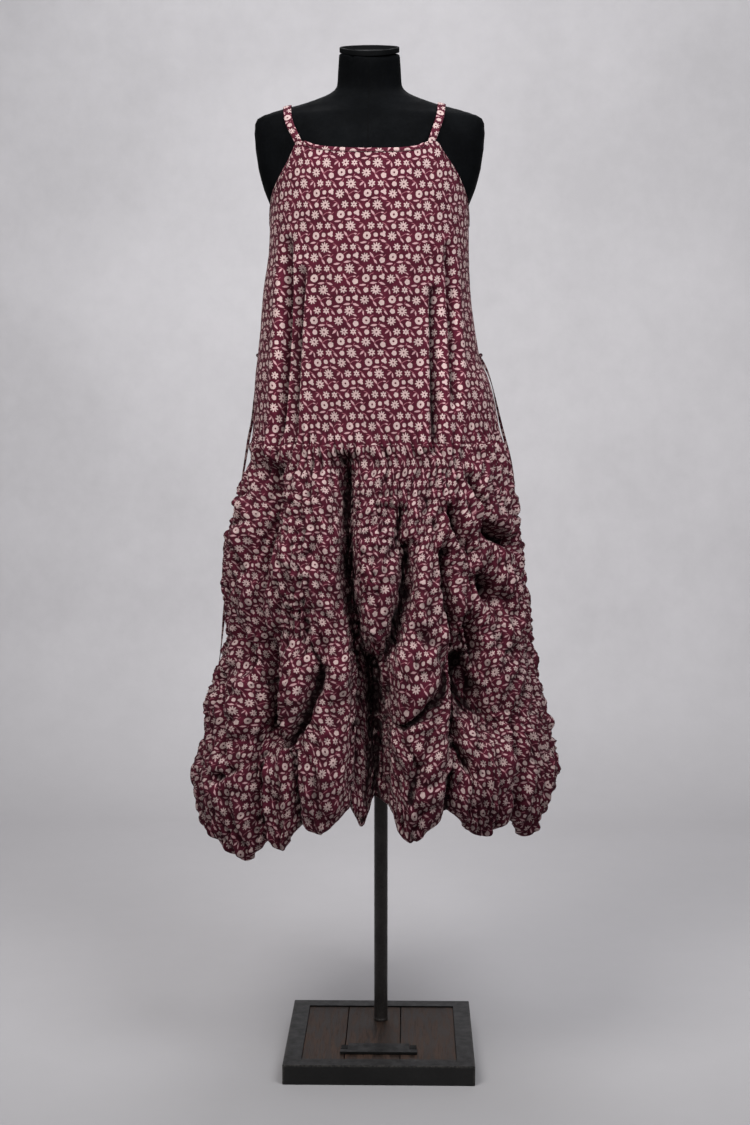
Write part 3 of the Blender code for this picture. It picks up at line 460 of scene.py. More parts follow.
def curve(rows, at, column=1):
    """A smooth curve through a table's rows, as a function of its first column."""
    rows = sorted(rows)
    x = np.array([r[0] for r in rows], float)
    y = np.array([r[column] for r in rows], float)
    at = np.clip(np.asarray(at, float), x[0], x[-1])
    step = np.diff(x)
    rise = np.diff(y) / step
    slope = np.zeros(len(x))
    for k in range(1, len(x) - 1):
        if rise[k - 1] * rise[k] > 0:
            a, b = step[k - 1] + 2 * step[k], 2 * step[k - 1] + step[k]
            slope[k] = (a + b) / (a / rise[k - 1] + b / rise[k])
    slope[0], slope[-1] = rise[0], rise[-1]
    i = np.clip(np.searchsorted(x, at, side="right") - 1, 0, len(x) - 2)
    h = step[i]
    t = (at - x[i]) / h
    return (
        (1 + 2 * t) * (1 - t) ** 2 * y[i]
        + t * (1 - t) ** 2 * h * slope[i]
        + t * t * (3 - 2 * t) * y[i + 1]
        + t * t * (t - 1) * h * slope[i + 1]
    )


def ease(t):
    t = np.clip(t, 0, 1)
    return t * t * (3 - 2 * t)


def unit(vectors):
    return vectors / np.linalg.norm(vectors, axis=-1, keepdims=True)


def run_length(points):
    """The length along a line at each of its points."""
    steps = np.linalg.norm(np.diff(points, axis=0), axis=1)
    return np.concatenate([[0], np.cumsum(steps)])


def pairs(across, down):
    """Flat places from their two sides, each for a row, a column or a grid."""
    return np.stack(np.broadcast_arrays(across, down), -1)


def soften(values, axis, width):
    """Values smoothed along one axis of a grid, over a few steps each way."""
    weights = np.exp(-(np.linspace(-2, 2, 2 * width + 1) ** 2))
    weights /= weights.sum()
    ends = [(0, 0)] * values.ndim
    ends[axis] = (width, width)
    spread = np.pad(values, ends, mode="edge")
    count = values.shape[axis]
    return sum(
        w * np.take(spread, range(k, k + count), axis) for k, w in enumerate(weights)
    )


def rough(place, size, seed):
    """Smooth noise at points; size is a length, or one for each direction."""
    flat = (place / np.array(size) + seed).reshape(-1, 3)
    return np.array([noise.noise(p) for p in flat.tolist()]).reshape(place.shape[:-1])


# ---------------------------------------------------------------- the dress


def dress_base(angle, z):
    """The dress without its folds, and its outward direction there."""
    angle, z = np.broadcast_arrays(np.asarray(angle, float), np.asarray(z, float))
    left, right, front, back, square = (curve(DRESS, z, k) for k in range(1, 6))
    half = (right - left) / 2
    s, c = np.sin(angle), np.cos(angle)
    deep = np.where(c > 0, front, back)
    r = (np.abs(s / half) ** square + np.abs(c / deep) ** square) ** (-1 / square)
    place = np.stack([(left + right) / 2 + r * s, -r * c, z], -1)
    outward = np.stack(
        [
            np.sign(s) * np.abs(s / half) ** (square - 1) / half,
            -np.sign(c) * np.abs(c / deep) ** (square - 1) / deep,
            0 * z,
        ],
        -1,
    )
    return place, unit(outward)


def on_dress(x, z, behind):
    """The point of the unfolded dress at this x, on its front or its back."""
    angles = np.linspace(-pi / 2, pi / 2, 241)
    if behind:
        angles = pi - angles
    across = dress_base(angles, z)[0][:, 0]
    return dress_base(np.interp(x, across, angles), z)[0]


def bend(a, b, c, t):
    """A smooth run through three values, at t from 0 to 2."""
    return a * (t - 1) * (t - 2) / 2 + b * t * (2 - t) + c * t * (t - 1) / 2


def fold_runs():
    """Each fold as points down its run, with its half width and depth."""
    runs = []
    for rows, behind, wider, deeper in (
        (FRONT_FOLDS, False, FRONT_WIDER, FRONT_DEEPER),
        (BACK_FOLDS, True, BACK_WIDER, BACK_DEEPER),
    ):
        for x0, z0, x1, z1, x2, z2, half, depth in rows:
            steps = np.linspace(0, 2, 13)
            xs = bend(x0, x1, x2, steps)
            zs = bend(z0, z1, z2, steps)
            points = np.array([on_dress(x, z, behind) for x, z in zip(xs, zs)])
            runs.append((points, half * wider, depth * deeper))
    return runs


def puff_spots():
    """Each place where the cloth stands out, with its sizes."""
    spots = []
    for rows, behind in ((FRONT_PUFFS, False), (BACK_PUFFS, True)):
        for x, z, wide, high, rise, sag in rows:
            spots.append((on_dress(x, z, behind), wide, high, rise, sag))
    return spots


RUNS = fold_runs()
SPOTS = puff_spots()


def near_run(place, points):
    """The vector from each place to a run, and how far along the run it meets."""
    best = np.full(place.shape[:-1], np.inf)
    way = np.zeros_like(place)
    along = np.zeros(place.shape[:-1])
    for k, (a, b) in enumerate(zip(points[:-1], points[1:])):
        d = b - a
        t = np.clip(((place - a) @ d) / (d @ d), 0, 1)
        to = a + t[..., None] * d - place
        far = (to**2).sum(-1)
        closer = far < best
        best = np.where(closer, far, best)
        way = np.where(closer[..., None], to, way)
        along = np.where(closer, (k + t) / (len(points) - 1), along)
    return way, np.sqrt(best), along


def relief(place):
    """How the cloth leaves its base: out, down, and sideways over its folds."""
    flat = place.reshape(-1, 3)
    sunk = np.zeros(len(flat))
    lips = np.zeros(len(flat))
    close = np.zeros_like(flat)
    for points, half, depth in RUNS:
        reach = 4.5 * half
        low, high = points.min(0) - reach, points.max(0) + reach
        some = ((flat > low) & (flat < high)).all(1)
        way, far, along = near_run(flat[some], points)
        r = far / half
        # A fold opens and dies away at its ends.
        open_ = 0.30 + 0.70 * np.sqrt(np.sin(pi * np.clip(along, 0.02, 0.98)))
        sunk[some] += (depth * open_ * np.exp(-(r**2))) ** 3
        lip = LIP * depth * open_ * np.exp(-(((r - 2.0) / 0.9) ** 2))
        lips[some] = np.maximum(lips[some], lip)
        shift = CLOSE * half * open_ * np.exp(-(((r - 1.5) / 0.75) ** 2))
        close[some] += way / np.maximum(far, 1e-6)[:, None] * shift[:, None]
    stands = lips - np.cbrt(sunk)
    sags = np.zeros(len(flat))
    for middle, wide, high, rise, sag in SPOTS:
        d = flat - middle
        across = (d[:, 0] ** 2 + d[:, 1] ** 2) / wide**2
        up = d[:, 2] / high
        stands += rise * np.exp(-((across + up**2) ** 1.5))
        sags += sag * np.exp(-across - 2.5 * (up + 0.55) ** 2)
    grid = place.shape[:-1]
    return stands.reshape(grid), sags.reshape(grid), close.reshape(place.shape)


def wrinkles(place, angle):
    """Small creases: gathers under the waist, crinkles on the ruched lines."""
    z = place[..., 2]
    turn = angle * ROUND_DRESS
    under = WAIST_Z - z
    gathers = np.where(under > 0, np.exp(-under / GATHER_BELOW), np.exp(under / GATHER_ABOVE))
    drift = rough(place, (0.05, 0.05, 0.12), 3.1)
    wide, narrow = GATHER_PITCHES
    wave = np.cos(2 * pi * (turn / wide + 2.2 * drift))
    wave += 0.5 * np.cos(2 * pi * (turn / narrow - 1.7 * drift) + 1.0)
    out = GATHER * gathers * wave
    loose = ease((FREE_Z - z) / (FREE_Z - 0.9))
    full = ease((WAIST_Z + 0.01 - z) / 0.09)
    for x in RUCHED_FRONT + RUCHED_BACK:
        front = x in RUCHED_FRONT
        side = place[..., 1] < 0 if front else place[..., 1] > 0
        off = place[..., 0] - x - 0.012 * drift
        line = np.exp(-((off / RUCHED_HALF) ** 2)) * side * full
        crinkle = np.sin(2 * pi * (z / RUCHED_PITCH + 1.5 * drift + 9 * x))
        out += RUCHED_HIGH * line * crinkle
    # Creases run down and across the drape, sharp inward and round outward.
    bent = place + 0.018 * np.stack([drift, drift, -drift], -1)
    lean = bent + 0.35 * bent[..., 2:] * np.sin(23 * bent[..., :1])
    for (high, size), at, seed in ((LARGE_CREASE, lean, 7.7), (SMALL_CREASE, bent, 1.3)):
        out += high * full * np.abs(rough(at, size, seed))
    out -= CREASE_REST * full
    high, size = BODICE_CREASE
    out += high * loose * (1 - full) * rough(place, size, 5.5)
    high, size = FINE_CREASE
    out += high * rough(place, size, 9.2)
    return out


def dress_point(angle, z):
    """The middle of the cloth at an angle and a height of the unfolded tube."""
    place, outward = dress_base(angle, z)
    stands, sags, close = relief(place)
    free = ease((HELD_Z - z) / (HELD_Z - FREE_Z))
    stands = (stands + wrinkles(place, np.asarray(angle))) * free
    point = place + outward * stands[..., None] + close * free[..., None]
    point[..., 2] -= sags
    return point


def grid_springs(points, links):
    """Springs between the points of a grid, from links down, to the right, longer, force."""
    rows, columns = points.shape[:2]
    springs = []
    for below, right, longer, force in links:
        first = (slice(0, rows - below), slice(max(0, -right), columns - max(0, right)))
        second = (slice(below, rows), slice(max(0, right), columns + min(0, right)))
        length = np.linalg.norm(points[second] - points[first], axis=-1)
        springs.append((first, second, length * longer, force))
    return springs


def spring_moves(place, springs, most=np.inf):
    """How the springs move each point, each by at most some share of its length."""
    move = np.zeros_like(place)
    for first, second, length, force in springs:
        way = place[second] - place[first]
        now = np.linalg.norm(way, axis=-1)
        wrong = np.clip(1 - length / np.maximum(now, 1e-6), -most, most)
        way *= (0.5 * force * wrong)[..., None]
        move[first] += way
        move[second] -= way
    return move


def crumple(points, held):
    """Cloth with too much length for its place: it buckles into small creases.

    Each point is pulled to lie at its own distance from its near neighbours,
    made longer, while far neighbours and its first place hold it.
    """
    across, down = EXTRA_ACROSS, EXTRA_DOWN
    both = (across + down) / 2
    springs = grid_springs(
        points,
        (
            (0, 1, across, 1.0),
            (1, 0, down, 1.0),
            (1, 1, both, 0.6),
            (1, -1, both, 0.6),
            (0, 2, across, 0.8),
            (2, 0, down, 0.8),
            (0, 3, across, 0.5),
            (3, 0, down, 0.6),
            (5, 0, down, 0.4),
            (0, 11, 1.0, 0.3),
            (14, 0, 1.0, 0.3),
        ),
    )
    place = points + 0.0
    free = (1 - held)[..., None]
    for _ in range(CRUMPLING):
        moves = CRUMPLE_PULL * spring_moves(place, springs)
        place += free * (moves + CRUMPLE_HOLD * (points - place))
    return place


def from_left_seam(angle):
    """The same direction as an angle from the left seam round to the left seam."""
    return (np.asarray(angle) + pi / 2) % (2 * pi) - pi / 2


def top_edge(angle):
    """Height of the bodice's top edge."""
    turn = np.degrees(from_left_seam(angle))
    behind = curve(BACK_EDGE, np.maximum(turn, 90))
    return np.where(turn <= 90, curve(FRONT_EDGE, turn), behind)


def hem_edge(angle):
    """Height of the skirt's hem."""
    angle = from_left_seam(angle)
    x = dress_base(angle, FRONT_HEM[0][1])[0][..., 0]
    return np.where(angle <= pi / 2, curve(FRONT_HEM, x), curve(BACK_HEM, x))


def skirt_point(angle, share):
    """The skirt from its seam (0) to its hem (1) and on up inside."""
    angle, share = np.broadcast_arrays(np.asarray(angle), np.asarray(share))
    hem = hem_edge(angle)
    run = (WAIST_Z - hem) * share
    past = np.maximum(run - (WAIST_Z - hem), 0)
    z = np.maximum(WAIST_Z - run, hem) + past
    turn = np.where(past > 0, 1, np.clip(1 - (z - hem) / HEM_ROLL, 0, 1))
    inward = HEM_ROLL * (1 - np.sqrt(1 - turn**2)) + HEM_INWARD * past
    inward = inward - SEAM_LAP_OUT * (1 - ease(run / SEAM_RISE))
    return dress_point(angle, z) - dress_base(angle, z)[1] * inward[..., None]


def bodice_point(angle, share):
    """The bodice from its top edge (0) to the waist seam (1)."""
    angle, share = np.broadcast_arrays(np.asarray(angle), np.asarray(share))
    top = top_edge(angle)
    return dress_point(angle, top + (WAIST_Z - top) * share)


def column_angles(side):
    """Angles spaced evenly along the cloth at the height of the skirt's middle."""
    start, end = (pi / 2, 3 * pi / 2) if side == "back" else (-pi / 2, pi / 2)
    turns = np.linspace(start + SEAM_GAP, end - SEAM_GAP, 361)
    length = run_length(dress_base(turns, SKIRT_MIDDLE)[0])
    return np.interp(np.linspace(0, length[-1], COLUMNS[side]), length, turns)


def skirt_shares():
    """Rows down the skirt, closer together where the hem turns under."""
    full = WAIST_Z - FRONT_HEM[0][1]
    turn = HEM_ROLL / full
    roll = 1 - turn * (1 - np.linspace(0, 1, 9)[1:] ** 0.5)
    inside = 1 + np.linspace(0, HEM_INSIDE / full, 7)[1:]
    down = np.linspace(-SEAM_LAP / full, 1 - turn, SKIRT_ROWS - len(roll) - len(inside))
    return np.concatenate([down, roll, inside])


# ---------------------------------------------------------------- meshes


def show(name, data):
    """A new object in the scene."""
    thing = bpy.data.objects.new(name, data)
    bpy.context.scene.collection.objects.link(thing)
    return thing


def paint(thing, look):
    thing.data.materials.clear()
    thing.data.materials.append(look)


def finish_piece(thing, look, node=None):
    """A finished piece: its finish, its body and the solid that it stands for."""
    paint(thing, look)
    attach(thing, "root")
    if node:
        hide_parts(node)


def add_piece(name, points, faces, uv=None, hollow=None):
    """A smooth mesh in the scene, with its cloth's flat place and its hollows, which set its
    painted shade.
    """
    mesh = bpy.data.meshes.new(name)
    mesh.from_pydata(np.asarray(points).tolist(), [], faces)
    if hollow is not None:
        depth = mesh.attributes.new("hollow", "FLOAT", "POINT")
        depth.data.foreach_set("value", np.asarray(hollow, np.float32).ravel())
    if uv is not None:
        layer = mesh.uv_layers.new(name="cloth")
        corner = np.empty(len(mesh.loops), np.int32)
        mesh.loops.foreach_get("vertex_index", corner)
        layer.data.foreach_set("uv", np.asarray(uv)[corner].astype(np.float32).ravel())
    mesh.shade_smooth()
    return show(name, mesh)


def grid_normals(middle):
    down = np.gradient(middle, axis=0)
    across = np.gradient(middle, axis=1)
    return unit(np.cross(down, across))


def cloth_uv(middle, above):
    """The grid laid flat, each stretch of cloth as near its true size as can be.

    Its top row starts on above, so that the print goes on, or its bottom row is
    level where above is None.
    """
    rows, columns = middle.shape[:2]
    across = np.linalg.norm(np.diff(middle, axis=1), axis=2)
    down = np.linalg.norm(np.diff(middle, axis=0), axis=2)
    flat = np.zeros((rows, columns, 2))
    flat[:, 1:, 0] = np.cumsum(soften(across, 0, 14), axis=1)
    flat[1:, :, 1] = np.cumsum(soften(down, 1, 10), axis=0)
    flat[..., 0] -= flat[:, columns // 2, 0][:, None]
    if above is None:
        flat[..., 1] -= flat[-1, :, 1]
    else:
        flat[..., 0] += above[columns // 2, 0]
        flat[0] = above
    links = ((0, 1), (1, 0), (1, 1), (1, -1), (3, 0), (0, 3), (3, 3), (3, -3))
    springs = grid_springs(middle, [(below, right, 1.0, 1.0) for below, right in links])
    for step in range(FLATTENING):
        flat += FLATTEN_PULL * spring_moves(flat, springs, most=1)
        if above is not None and step < FLATTENING * FLATTEN_PINNED:
            flat[0] = above
    return flat


def hollows(middle):
    """How far each point lies under the cloth round it, from -1 to 1: the strength of the painted
    shade there.
    """
    normal = grid_normals(middle)
    deepest = np.full(middle.shape[:2], -1.0)
    for steps, depth, share in HOLLOWS:
        level = soften(soften(middle, 0, steps), 1, steps)
        under = ((level - middle) * normal).sum(-1)
        deepest = np.maximum(deepest, np.clip(under / depth, -1, 1) * share)
    return deepest


def creased(middle, size, seed):
    """Thin lines where the cloth has been creased, for painted shade along them: 1 on a line, 0
    off it.
    """
    bent = middle + 0.5 * size * rough(middle, 1.6 * size, seed)[..., None]
    off = np.abs(rough(bent, (size, size, 1.9 * size), seed + 2.5))
    return np.clip(1 - off / CREASE_LINE, 0, 1)


def wall(name, middle, thick, uv, under=None):
    """A closed thin wall about a grid that runs down and to the right."""
    rows, columns = middle.shape[:2]
    normal = grid_normals(middle)
    outer = (middle + normal * thick / 2).reshape(-1, 3)
    inner = (middle - normal * thick / 2).reshape(-1, 3)
    count = rows * columns
    at = np.arange(count).reshape(rows, columns)
    a, b, d, e = at[:-1, :-1], at[:-1, 1:], at[1:, :-1], at[1:, 1:]
    front = np.stack([a, d, e, b], -1).reshape(-1, 4)
    back = np.stack([a, b, e, d], -1).reshape(-1, 4) + count
    rim = np.concatenate([at[:, 0], at[-1, 1:], at[-2::-1, -1], at[0, -2:0:-1]])
    after = np.roll(rim, -1)
    edge = np.stack([after, rim, rim + count, after + count], -1)
    faces = np.concatenate([front, back, edge]).tolist()
    flat = uv.reshape(-1, 2)
    under = np.zeros(count) if under is None else under.ravel()
    return add_piece(
        name,
        np.concatenate([outer, inner]),
        faces,
        np.concatenate([flat, flat]),
        np.concatenate([under, under]),
    )


def tube(name, loops, uv=None):
    """A closed solid through loops of points, with its ends filled."""
    loops = np.asarray(loops)
    rows, count = loops.shape[:2]
    at = np.arange(rows * count).reshape(rows, count)
    a, b = at[:-1], np.roll(at[:-1], -1, axis=1)
    faces = np.stack([a, b, b + count, a + count], -1).reshape(-1, 4).tolist()
    faces += [at[0, ::-1].tolist(), at[-1].tolist()]
    return add_piece(name, loops.reshape(-1, 3), faces, uv)


def frames_along(line):
    """Two directions across a line at each of its points, turning as little as can be."""
    along = unit(np.gradient(line, axis=0))
    side = unit(np.cross(along[0], (0.0, 1.0, 0.1)))
    sides = []
    for t in along:
        side = unit(side - t * (side @ t))
        sides.append(side)
    sides = np.array(sides)
    return sides, np.cross(along, sides)


def smooth_line(route, count):
    """Points evenly along a smooth line through a route."""
    route = np.array(route, float)
    length = run_length(route)
    at = np.linspace(0, length[-1], count)
    return np.stack([curve(list(zip(length, route[:, k])), at) for k in range(3)], -1)


def lathe(name, profile, y):
    """A round solid from its profile of radius and height, at this y."""
    turn = np.linspace(0, 2 * pi, POLE_SIDES, endpoint=False)
    circle = np.stack([np.cos(turn), np.sin(turn), 0 * turn], -1)
    thing = tube(name, [circle * r + (0, y, z) for r, z in profile])
    thing.data.set_sharp_from_angle(angle=radians(40))
    return thing


def neck_ring(z, shrink):
    """The neck's outline at its top, drawn in by some amount."""
    turn = np.linspace(0, 2 * pi, NECK_SIDES, endpoint=False)
    s, c = np.sin(turn), -np.cos(turn)
    half, front, back = NECK
    core, side = NECK_CORE
    deep = np.where(c < 0, front, back) - shrink
    wide = (half**8 - core**8) ** 0.125 - shrink
    body = (np.abs(s / (core - shrink)) ** 2.1 + np.abs(c / deep) ** 2.1) ** (-1 / 2.1)
    arms = (np.abs(s / wide) ** 2.7 + np.abs(c / (side - shrink)) ** 2.7) ** (-1 / 2.7)
    r = (body**8 + arms**8) ** 0.125
    return np.stack([FORM_X + r * s, r * c, z + NECK_SLOPE * r * c], -1)


def rounded_copy(node, name):
    """A CAD node's form as one joined mesh, rounded."""
    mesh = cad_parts[node].data.copy()
    mesh.name = name
    form = bmesh.new()
    form.from_mesh(mesh)
    bmesh.ops.remove_doubles(form, verts=form.verts, dist=1e-6)
    form.to_mesh(mesh)
    form.free()
    mesh.shade_smooth()
    thing = show(name, mesh)
    round_ = thing.modifiers.new("round", "SUBSURF")
    round_.levels = round_.render_levels = 1
    return thing


# ---------------------------------------------------------------- node tools


def feed(tree, node, inputs):
    """A node's inputs, each either linked or set."""
    for key, value in inputs.items():
        if isinstance(value, bpy.types.NodeSocket):
            tree.links.new(value, node.inputs[key])
        else:
            node.inputs[key].default_value = value


def add_node(tree, kind, inputs=None, **settings):
    node = tree.nodes.new(kind)
    for key, value in settings.items():
        setattr(node, key, value)
    feed(tree, node, inputs or {})
    return node


def calc(tree, operation, *values, clamp=False):
    inputs = dict(enumerate(values))
    node = add_node(tree, "ShaderNodeMath", inputs, operation=operation)
    node.use_clamp = clamp
    return node.outputs[0]


def mix_colour(tree, share, first, second):
    """The first colour, going over to the second by share."""
    inputs = {0: share, 6: first, 7: second}
    return add_node(tree, "ShaderNodeMix", inputs, data_type="RGBA").outputs[2]


def noise_at(tree, place, size, detail=2.0, rough_=0.5):
    """Noise of about this size, in metres."""
    inputs = {"Vector": place, "Scale": 1 / size, "Detail": detail, "Roughness": rough_}
    return add_node(tree, "ShaderNodeTexNoise", inputs).outputs["Fac"]


def span(tree, value, low, high, to_low=0.0, to_high=1.0):
    """A value from low to high, spread over another range."""
    inputs = {"Value": value, 1: low, 2: high, 3: to_low, 4: to_high}
    return add_node(tree, "ShaderNodeMapRange", inputs).outputs[0]


def stretched(tree, place, x, y, z):
    inputs = {0: place, 1: (x, y, z)}
    return add_node(tree, "ShaderNodeVectorMath", inputs, operation="MULTIPLY").outputs[0]


def split(tree, place):
    """A place's x, y and z."""
    return add_node(tree, "ShaderNodeSeparateXYZ", {0: place}).outputs


def in_object(tree):
    """The place on the object, in metres."""
    return add_node(tree, "ShaderNodeTexCoord").outputs["Object"]


def bumps(tree, shader, *layers):
    """Bumps over one another, each with its height, strength and distance."""
    normal = {}
    for height, strength, distance in layers:
        inputs = {"Height": height, "Strength": strength, "Distance": distance, **normal}
        normal = {"Normal": add_node(tree, "ShaderNodeBump", inputs).outputs[0]}
    feed(tree, shader, normal)


def tinted(colour, share=1.0, plus=0.0):
    """A colour, darker or lighter, with its alpha."""
    return tuple(min(1.0, share * v + plus) for v in colour) + (1.0,)


AT = ("At", "Vector", None)


def numbers(**values):
    """Sockets for plain numbers, with what they start at."""
    return [(label, "Float", value) for label, value in values.items()]


def effect(name, inputs, outputs, kind="ShaderNodeTree"):
    """An empty node group with named sockets, and what it's given."""
    tree = bpy.data.node_groups.new(name, kind)
    for way, rows in (("INPUT", inputs), ("OUTPUT", outputs)):
        for label, sort, value in rows:
            socket = tree.interface.new_socket(
                name=label, in_out=way, socket_type="NodeSocket" + sort
            )
            if value is not None:
                socket.default_value = value
    return tree, tree.nodes.new("NodeGroupInput").outputs


def close_effect(tree, **results):
    out = tree.nodes.new("NodeGroupOutput")
    for label, value in results.items():
        tree.links.new(value, out.inputs[label])
    return tree


def place_effect(tree, group, **inputs):
    return add_node(tree, "ShaderNodeGroup", inputs, node_tree=group).outputs


# ---------------------------------------------------------------- the print

# One repeat of the print, in millimetres: the next repeat to the right is half
# a drop lower. x is to the right and y is down.
REPEAT_WIDE = 40.3
REPEAT_HIGH = 63.8
FLOWERS = (
    # x, y, radius, petals, notch, centre
    (0.0, 0.0, 5.9, 12, 0.05, 1.6),
    (-2.0, 32.6, 7.1, 9, 0.50, 1.3),
    (15.0, 17.4, 7.8, 10, 0.50, 1.4),
    (5.8, -15.0, 5.9, 7, 0.48, 1.2),
    (19.7, -14.8, 5.0, 6, 0.44, 1.0),
    (0.2, 17.8, 3.9, 5, 0.08, 0.0),
    (13.2, -1.2, 3.4, 4, 0.10, 0.0),
    (24.7, -2.4, 4.8, 3, 0.42, 0.0),
    (-16.2, 4.9, 4.4, 5, 0.10, 0.0),
)
LEAVES = (
    # x, y, half length, half width, turn in degrees
    (11.4, 7.1, 5.6, 1.7, -6.0),
    (24.9, 7.9, 5.2, 1.7, 22.0),
    (-4.9, 10.2, 5.6, 1.5, -6.0),
    (-9.3, -14.6, 4.3, 1.5, -42.0),
    (-4.1, -11.6, 4.0, 1.2, 84.0),
    (-17.2, -8.0, 3.4, 1.1, 30.0),
    (-17.6, -2.8, 2.8, 1.0, 6.0),
    (8.0, 28.9, 4.9, 1.5, 52.0),
    (13.8, 38.8, 4.8, 1.5, 52.0),
    (-10.2, 20.1, 4.5, 1.4, 48.0),
)
STEMS = (
    # x, y, half length, bend, turn in degrees
    (19.6, 4.6, 2.2, 0.020, -62.0),
    (15.0, 30.8, 5.6, 0.030, -30.0),
    (10.5, 33.6, 6.4, 0.020, 52.0),
    (-6.5, -17.5, 5.4, 0.060, 42.0),
    (-14.0, -1.2, 4.0, 0.030, -44.0),
    (7.2, -6.0, 4.4, 0.030, -36.0),
    (2.4, 12.0, 2.6, 0.030, -60.0),
    (24.5, -9.0, 5.0, 0.060, 66.0),
    (-13.0, 14.6, 4.6, 0.040, 38.0),
)
INK_EDGE = 0.35  # softness of a motif's edge, in millimetres
STEM_HALF = 0.48


def build_place_in_repeat():
    """A point's place beside a motif, turned to it, in millimetres."""
    tree, given = effect(
        "place in repeat",
        [AT, *numbers(X=0.0, Y=0.0, Turn=0.0)],
        numbers(Across=None, Down=None),
    )
    right, down, _ = split(tree, given["At"])
    x = calc(tree, "SUBTRACT", right, given["X"])
    y = calc(tree, "SUBTRACT", down, given["Y"])
    column = calc(tree, "ROUND", calc(tree, "DIVIDE", x, REPEAT_WIDE))
    x = calc(tree, "MULTIPLY_ADD", column, -REPEAT_WIDE, x)
    y = calc(tree, "MULTIPLY_ADD", column, -REPEAT_HIGH / 2, y)
    row = calc(tree, "ROUND", calc(tree, "DIVIDE", y, REPEAT_HIGH))
    y = calc(tree, "MULTIPLY_ADD", row, -REPEAT_HIGH, y)
    c = calc(tree, "COSINE", given["Turn"])
    s = calc(tree, "SINE", given["Turn"])
    across = calc(tree, "MULTIPLY_ADD", x, c, calc(tree, "MULTIPLY", y, s))
    down = calc(tree, "SUBTRACT", calc(tree, "MULTIPLY", y, c), calc(tree, "MULTIPLY", x, s))
    return close_effect(tree, Across=across, Down=down)


def ink(tree, reach):
    """Full where reach is above zero, soft at zero."""
    return calc(tree, "MULTIPLY_ADD", reach, 1 / INK_EDGE, 0.5, clamp=True)


def beside(tree, place, given):
    """The place beside a motif, from what the motif is given."""
    names = [name for name in ("At", "X", "Y", "Turn") if name in given]
    return place_effect(tree, place, **{name: given[name] for name in names})


def build_flower(place):
    tree, given = effect(
        "printed flower",
        [AT, *numbers(X=0.0, Y=0.0, Radius=6.0, Petals=8.0, Notch=0.3, Centre=1.0)],
        numbers(Mask=None),
    )
    at = beside(tree, place, given)
    x, y = at["Across"], at["Down"]
    away = calc(tree, "SQRT", calc(tree, "MULTIPLY_ADD", x, x, calc(tree, "MULTIPLY", y, y)))
    turn = calc(tree, "MULTIPLY", calc(tree, "ARCTAN2", y, x), given["Petals"])
    lobe = calc(tree, "ABSOLUTE", calc(tree, "SINE", calc(tree, "MULTIPLY", turn, 0.5)))
    lobe = calc(tree, "POWER", lobe, 1.5)
    cut = calc(tree, "MULTIPLY", calc(tree, "SUBTRACT", 1.0, lobe), given["Notch"])
    edge = calc(tree, "MULTIPLY", calc(tree, "SUBTRACT", 1.0, cut), given["Radius"])
    petals = ink(tree, calc(tree, "SUBTRACT", edge, away))
    hole = ink(tree, calc(tree, "SUBTRACT", away, given["Centre"]))
    return close_effect(tree, Mask=calc(tree, "MULTIPLY", petals, hole))


def build_leaf(place):
    tree, given = effect(
        "printed leaf",
        [AT, *numbers(X=0.0, Y=0.0, Long=5.0, Wide=1.5, Turn=0.0)],
        numbers(Mask=None),
    )
    at = beside(tree, place, given)
    share = calc(tree, "DIVIDE", at["Across"], given["Long"])
    lens = calc(tree, "SUBTRACT", 1.0, calc(tree, "MULTIPLY", share, share))
    reach = calc(tree, "MULTIPLY", lens, given["Wide"])
    reach = calc(tree, "SUBTRACT", reach, calc(tree, "ABSOLUTE", at["Down"]))
    return close_effect(tree, Mask=ink(tree, reach))


def build_stem(place):
    tree, given = effect(
        "printed stem",
        [AT, *numbers(X=0.0, Y=0.0, Long=7.0, Bend=0.05, Turn=0.0)],
        numbers(Mask=None),
    )
    at = beside(tree, place, given)
    x = at["Across"]
    bow = calc(tree, "MULTIPLY", calc(tree, "MULTIPLY", x, x), given["Bend"])
    off = calc(tree, "ABSOLUTE", calc(tree, "SUBTRACT", at["Down"], bow))
    line = ink(tree, calc(tree, "SUBTRACT", STEM_HALF, off))
    ends = calc(tree, "SUBTRACT", given["Long"], calc(tree, "ABSOLUTE", x))
    return close_effect(tree, Mask=calc(tree, "MULTIPLY", line, ink(tree, ends)))


def print_motif(tree, motif, at, rows, *labels):
    """One motif at all its places, as a mask."""
    whole = None
    for x, y, *sizes in rows:
        values = dict(zip(labels, sizes))
        if "Turn" in values:
            values["Turn"] = radians(values["Turn"])
        mask = place_effect(tree, motif, At=at, X=x, Y=y, **values)["Mask"]
        whole = mask if whole is None else calc(tree, "MAXIMUM", whole, mask)
    return whole


def build_print():
    """The whole repeat: pale flowers and leaves, and thin stems between them."""
    place = build_place_in_repeat()
    flower, leaf, stem = build_flower(place), build_leaf(place), build_stem(place)
    tree, given = effect("flower print", [AT], numbers(Flowers=None, Leaves=None, Stems=None))
    shift = add_node(
        tree, "ShaderNodeTexNoise", {"Vector": given["At"], "Scale": 0.35, "Detail": 1.0}
    )
    wobble = {0: shift.outputs["Color"], 1: (1.3, 1.3, 0.0), 2: given["At"]}
    at = add_node(tree, "ShaderNodeVectorMath", wobble, operation="MULTIPLY_ADD").outputs[0]
    return close_effect(
        tree,
        Flowers=print_motif(
            tree, flower, at, FLOWERS, "Radius", "Petals", "Notch", "Centre"
        ),
        Leaves=print_motif(tree, leaf, at, LEAVES, "Long", "Wide", "Turn"),
        Stems=print_motif(tree, stem, at, STEMS, "Long", "Bend", "Turn"),
    )


# ---------------------------------------------------------------- finishes


def new_finish(name, **settings):
    """A material with these values on its shader, its nodes and its shader."""
    look = bpy.data.materials.new(name)
    look.use_nodes = True
    shader = look.node_tree.nodes["Principled BSDF"]
    inputs = {label.replace("_", " "): value for label, value in settings.items()}
    feed(look.node_tree, shader, inputs)
    return look, look.node_tree, shader


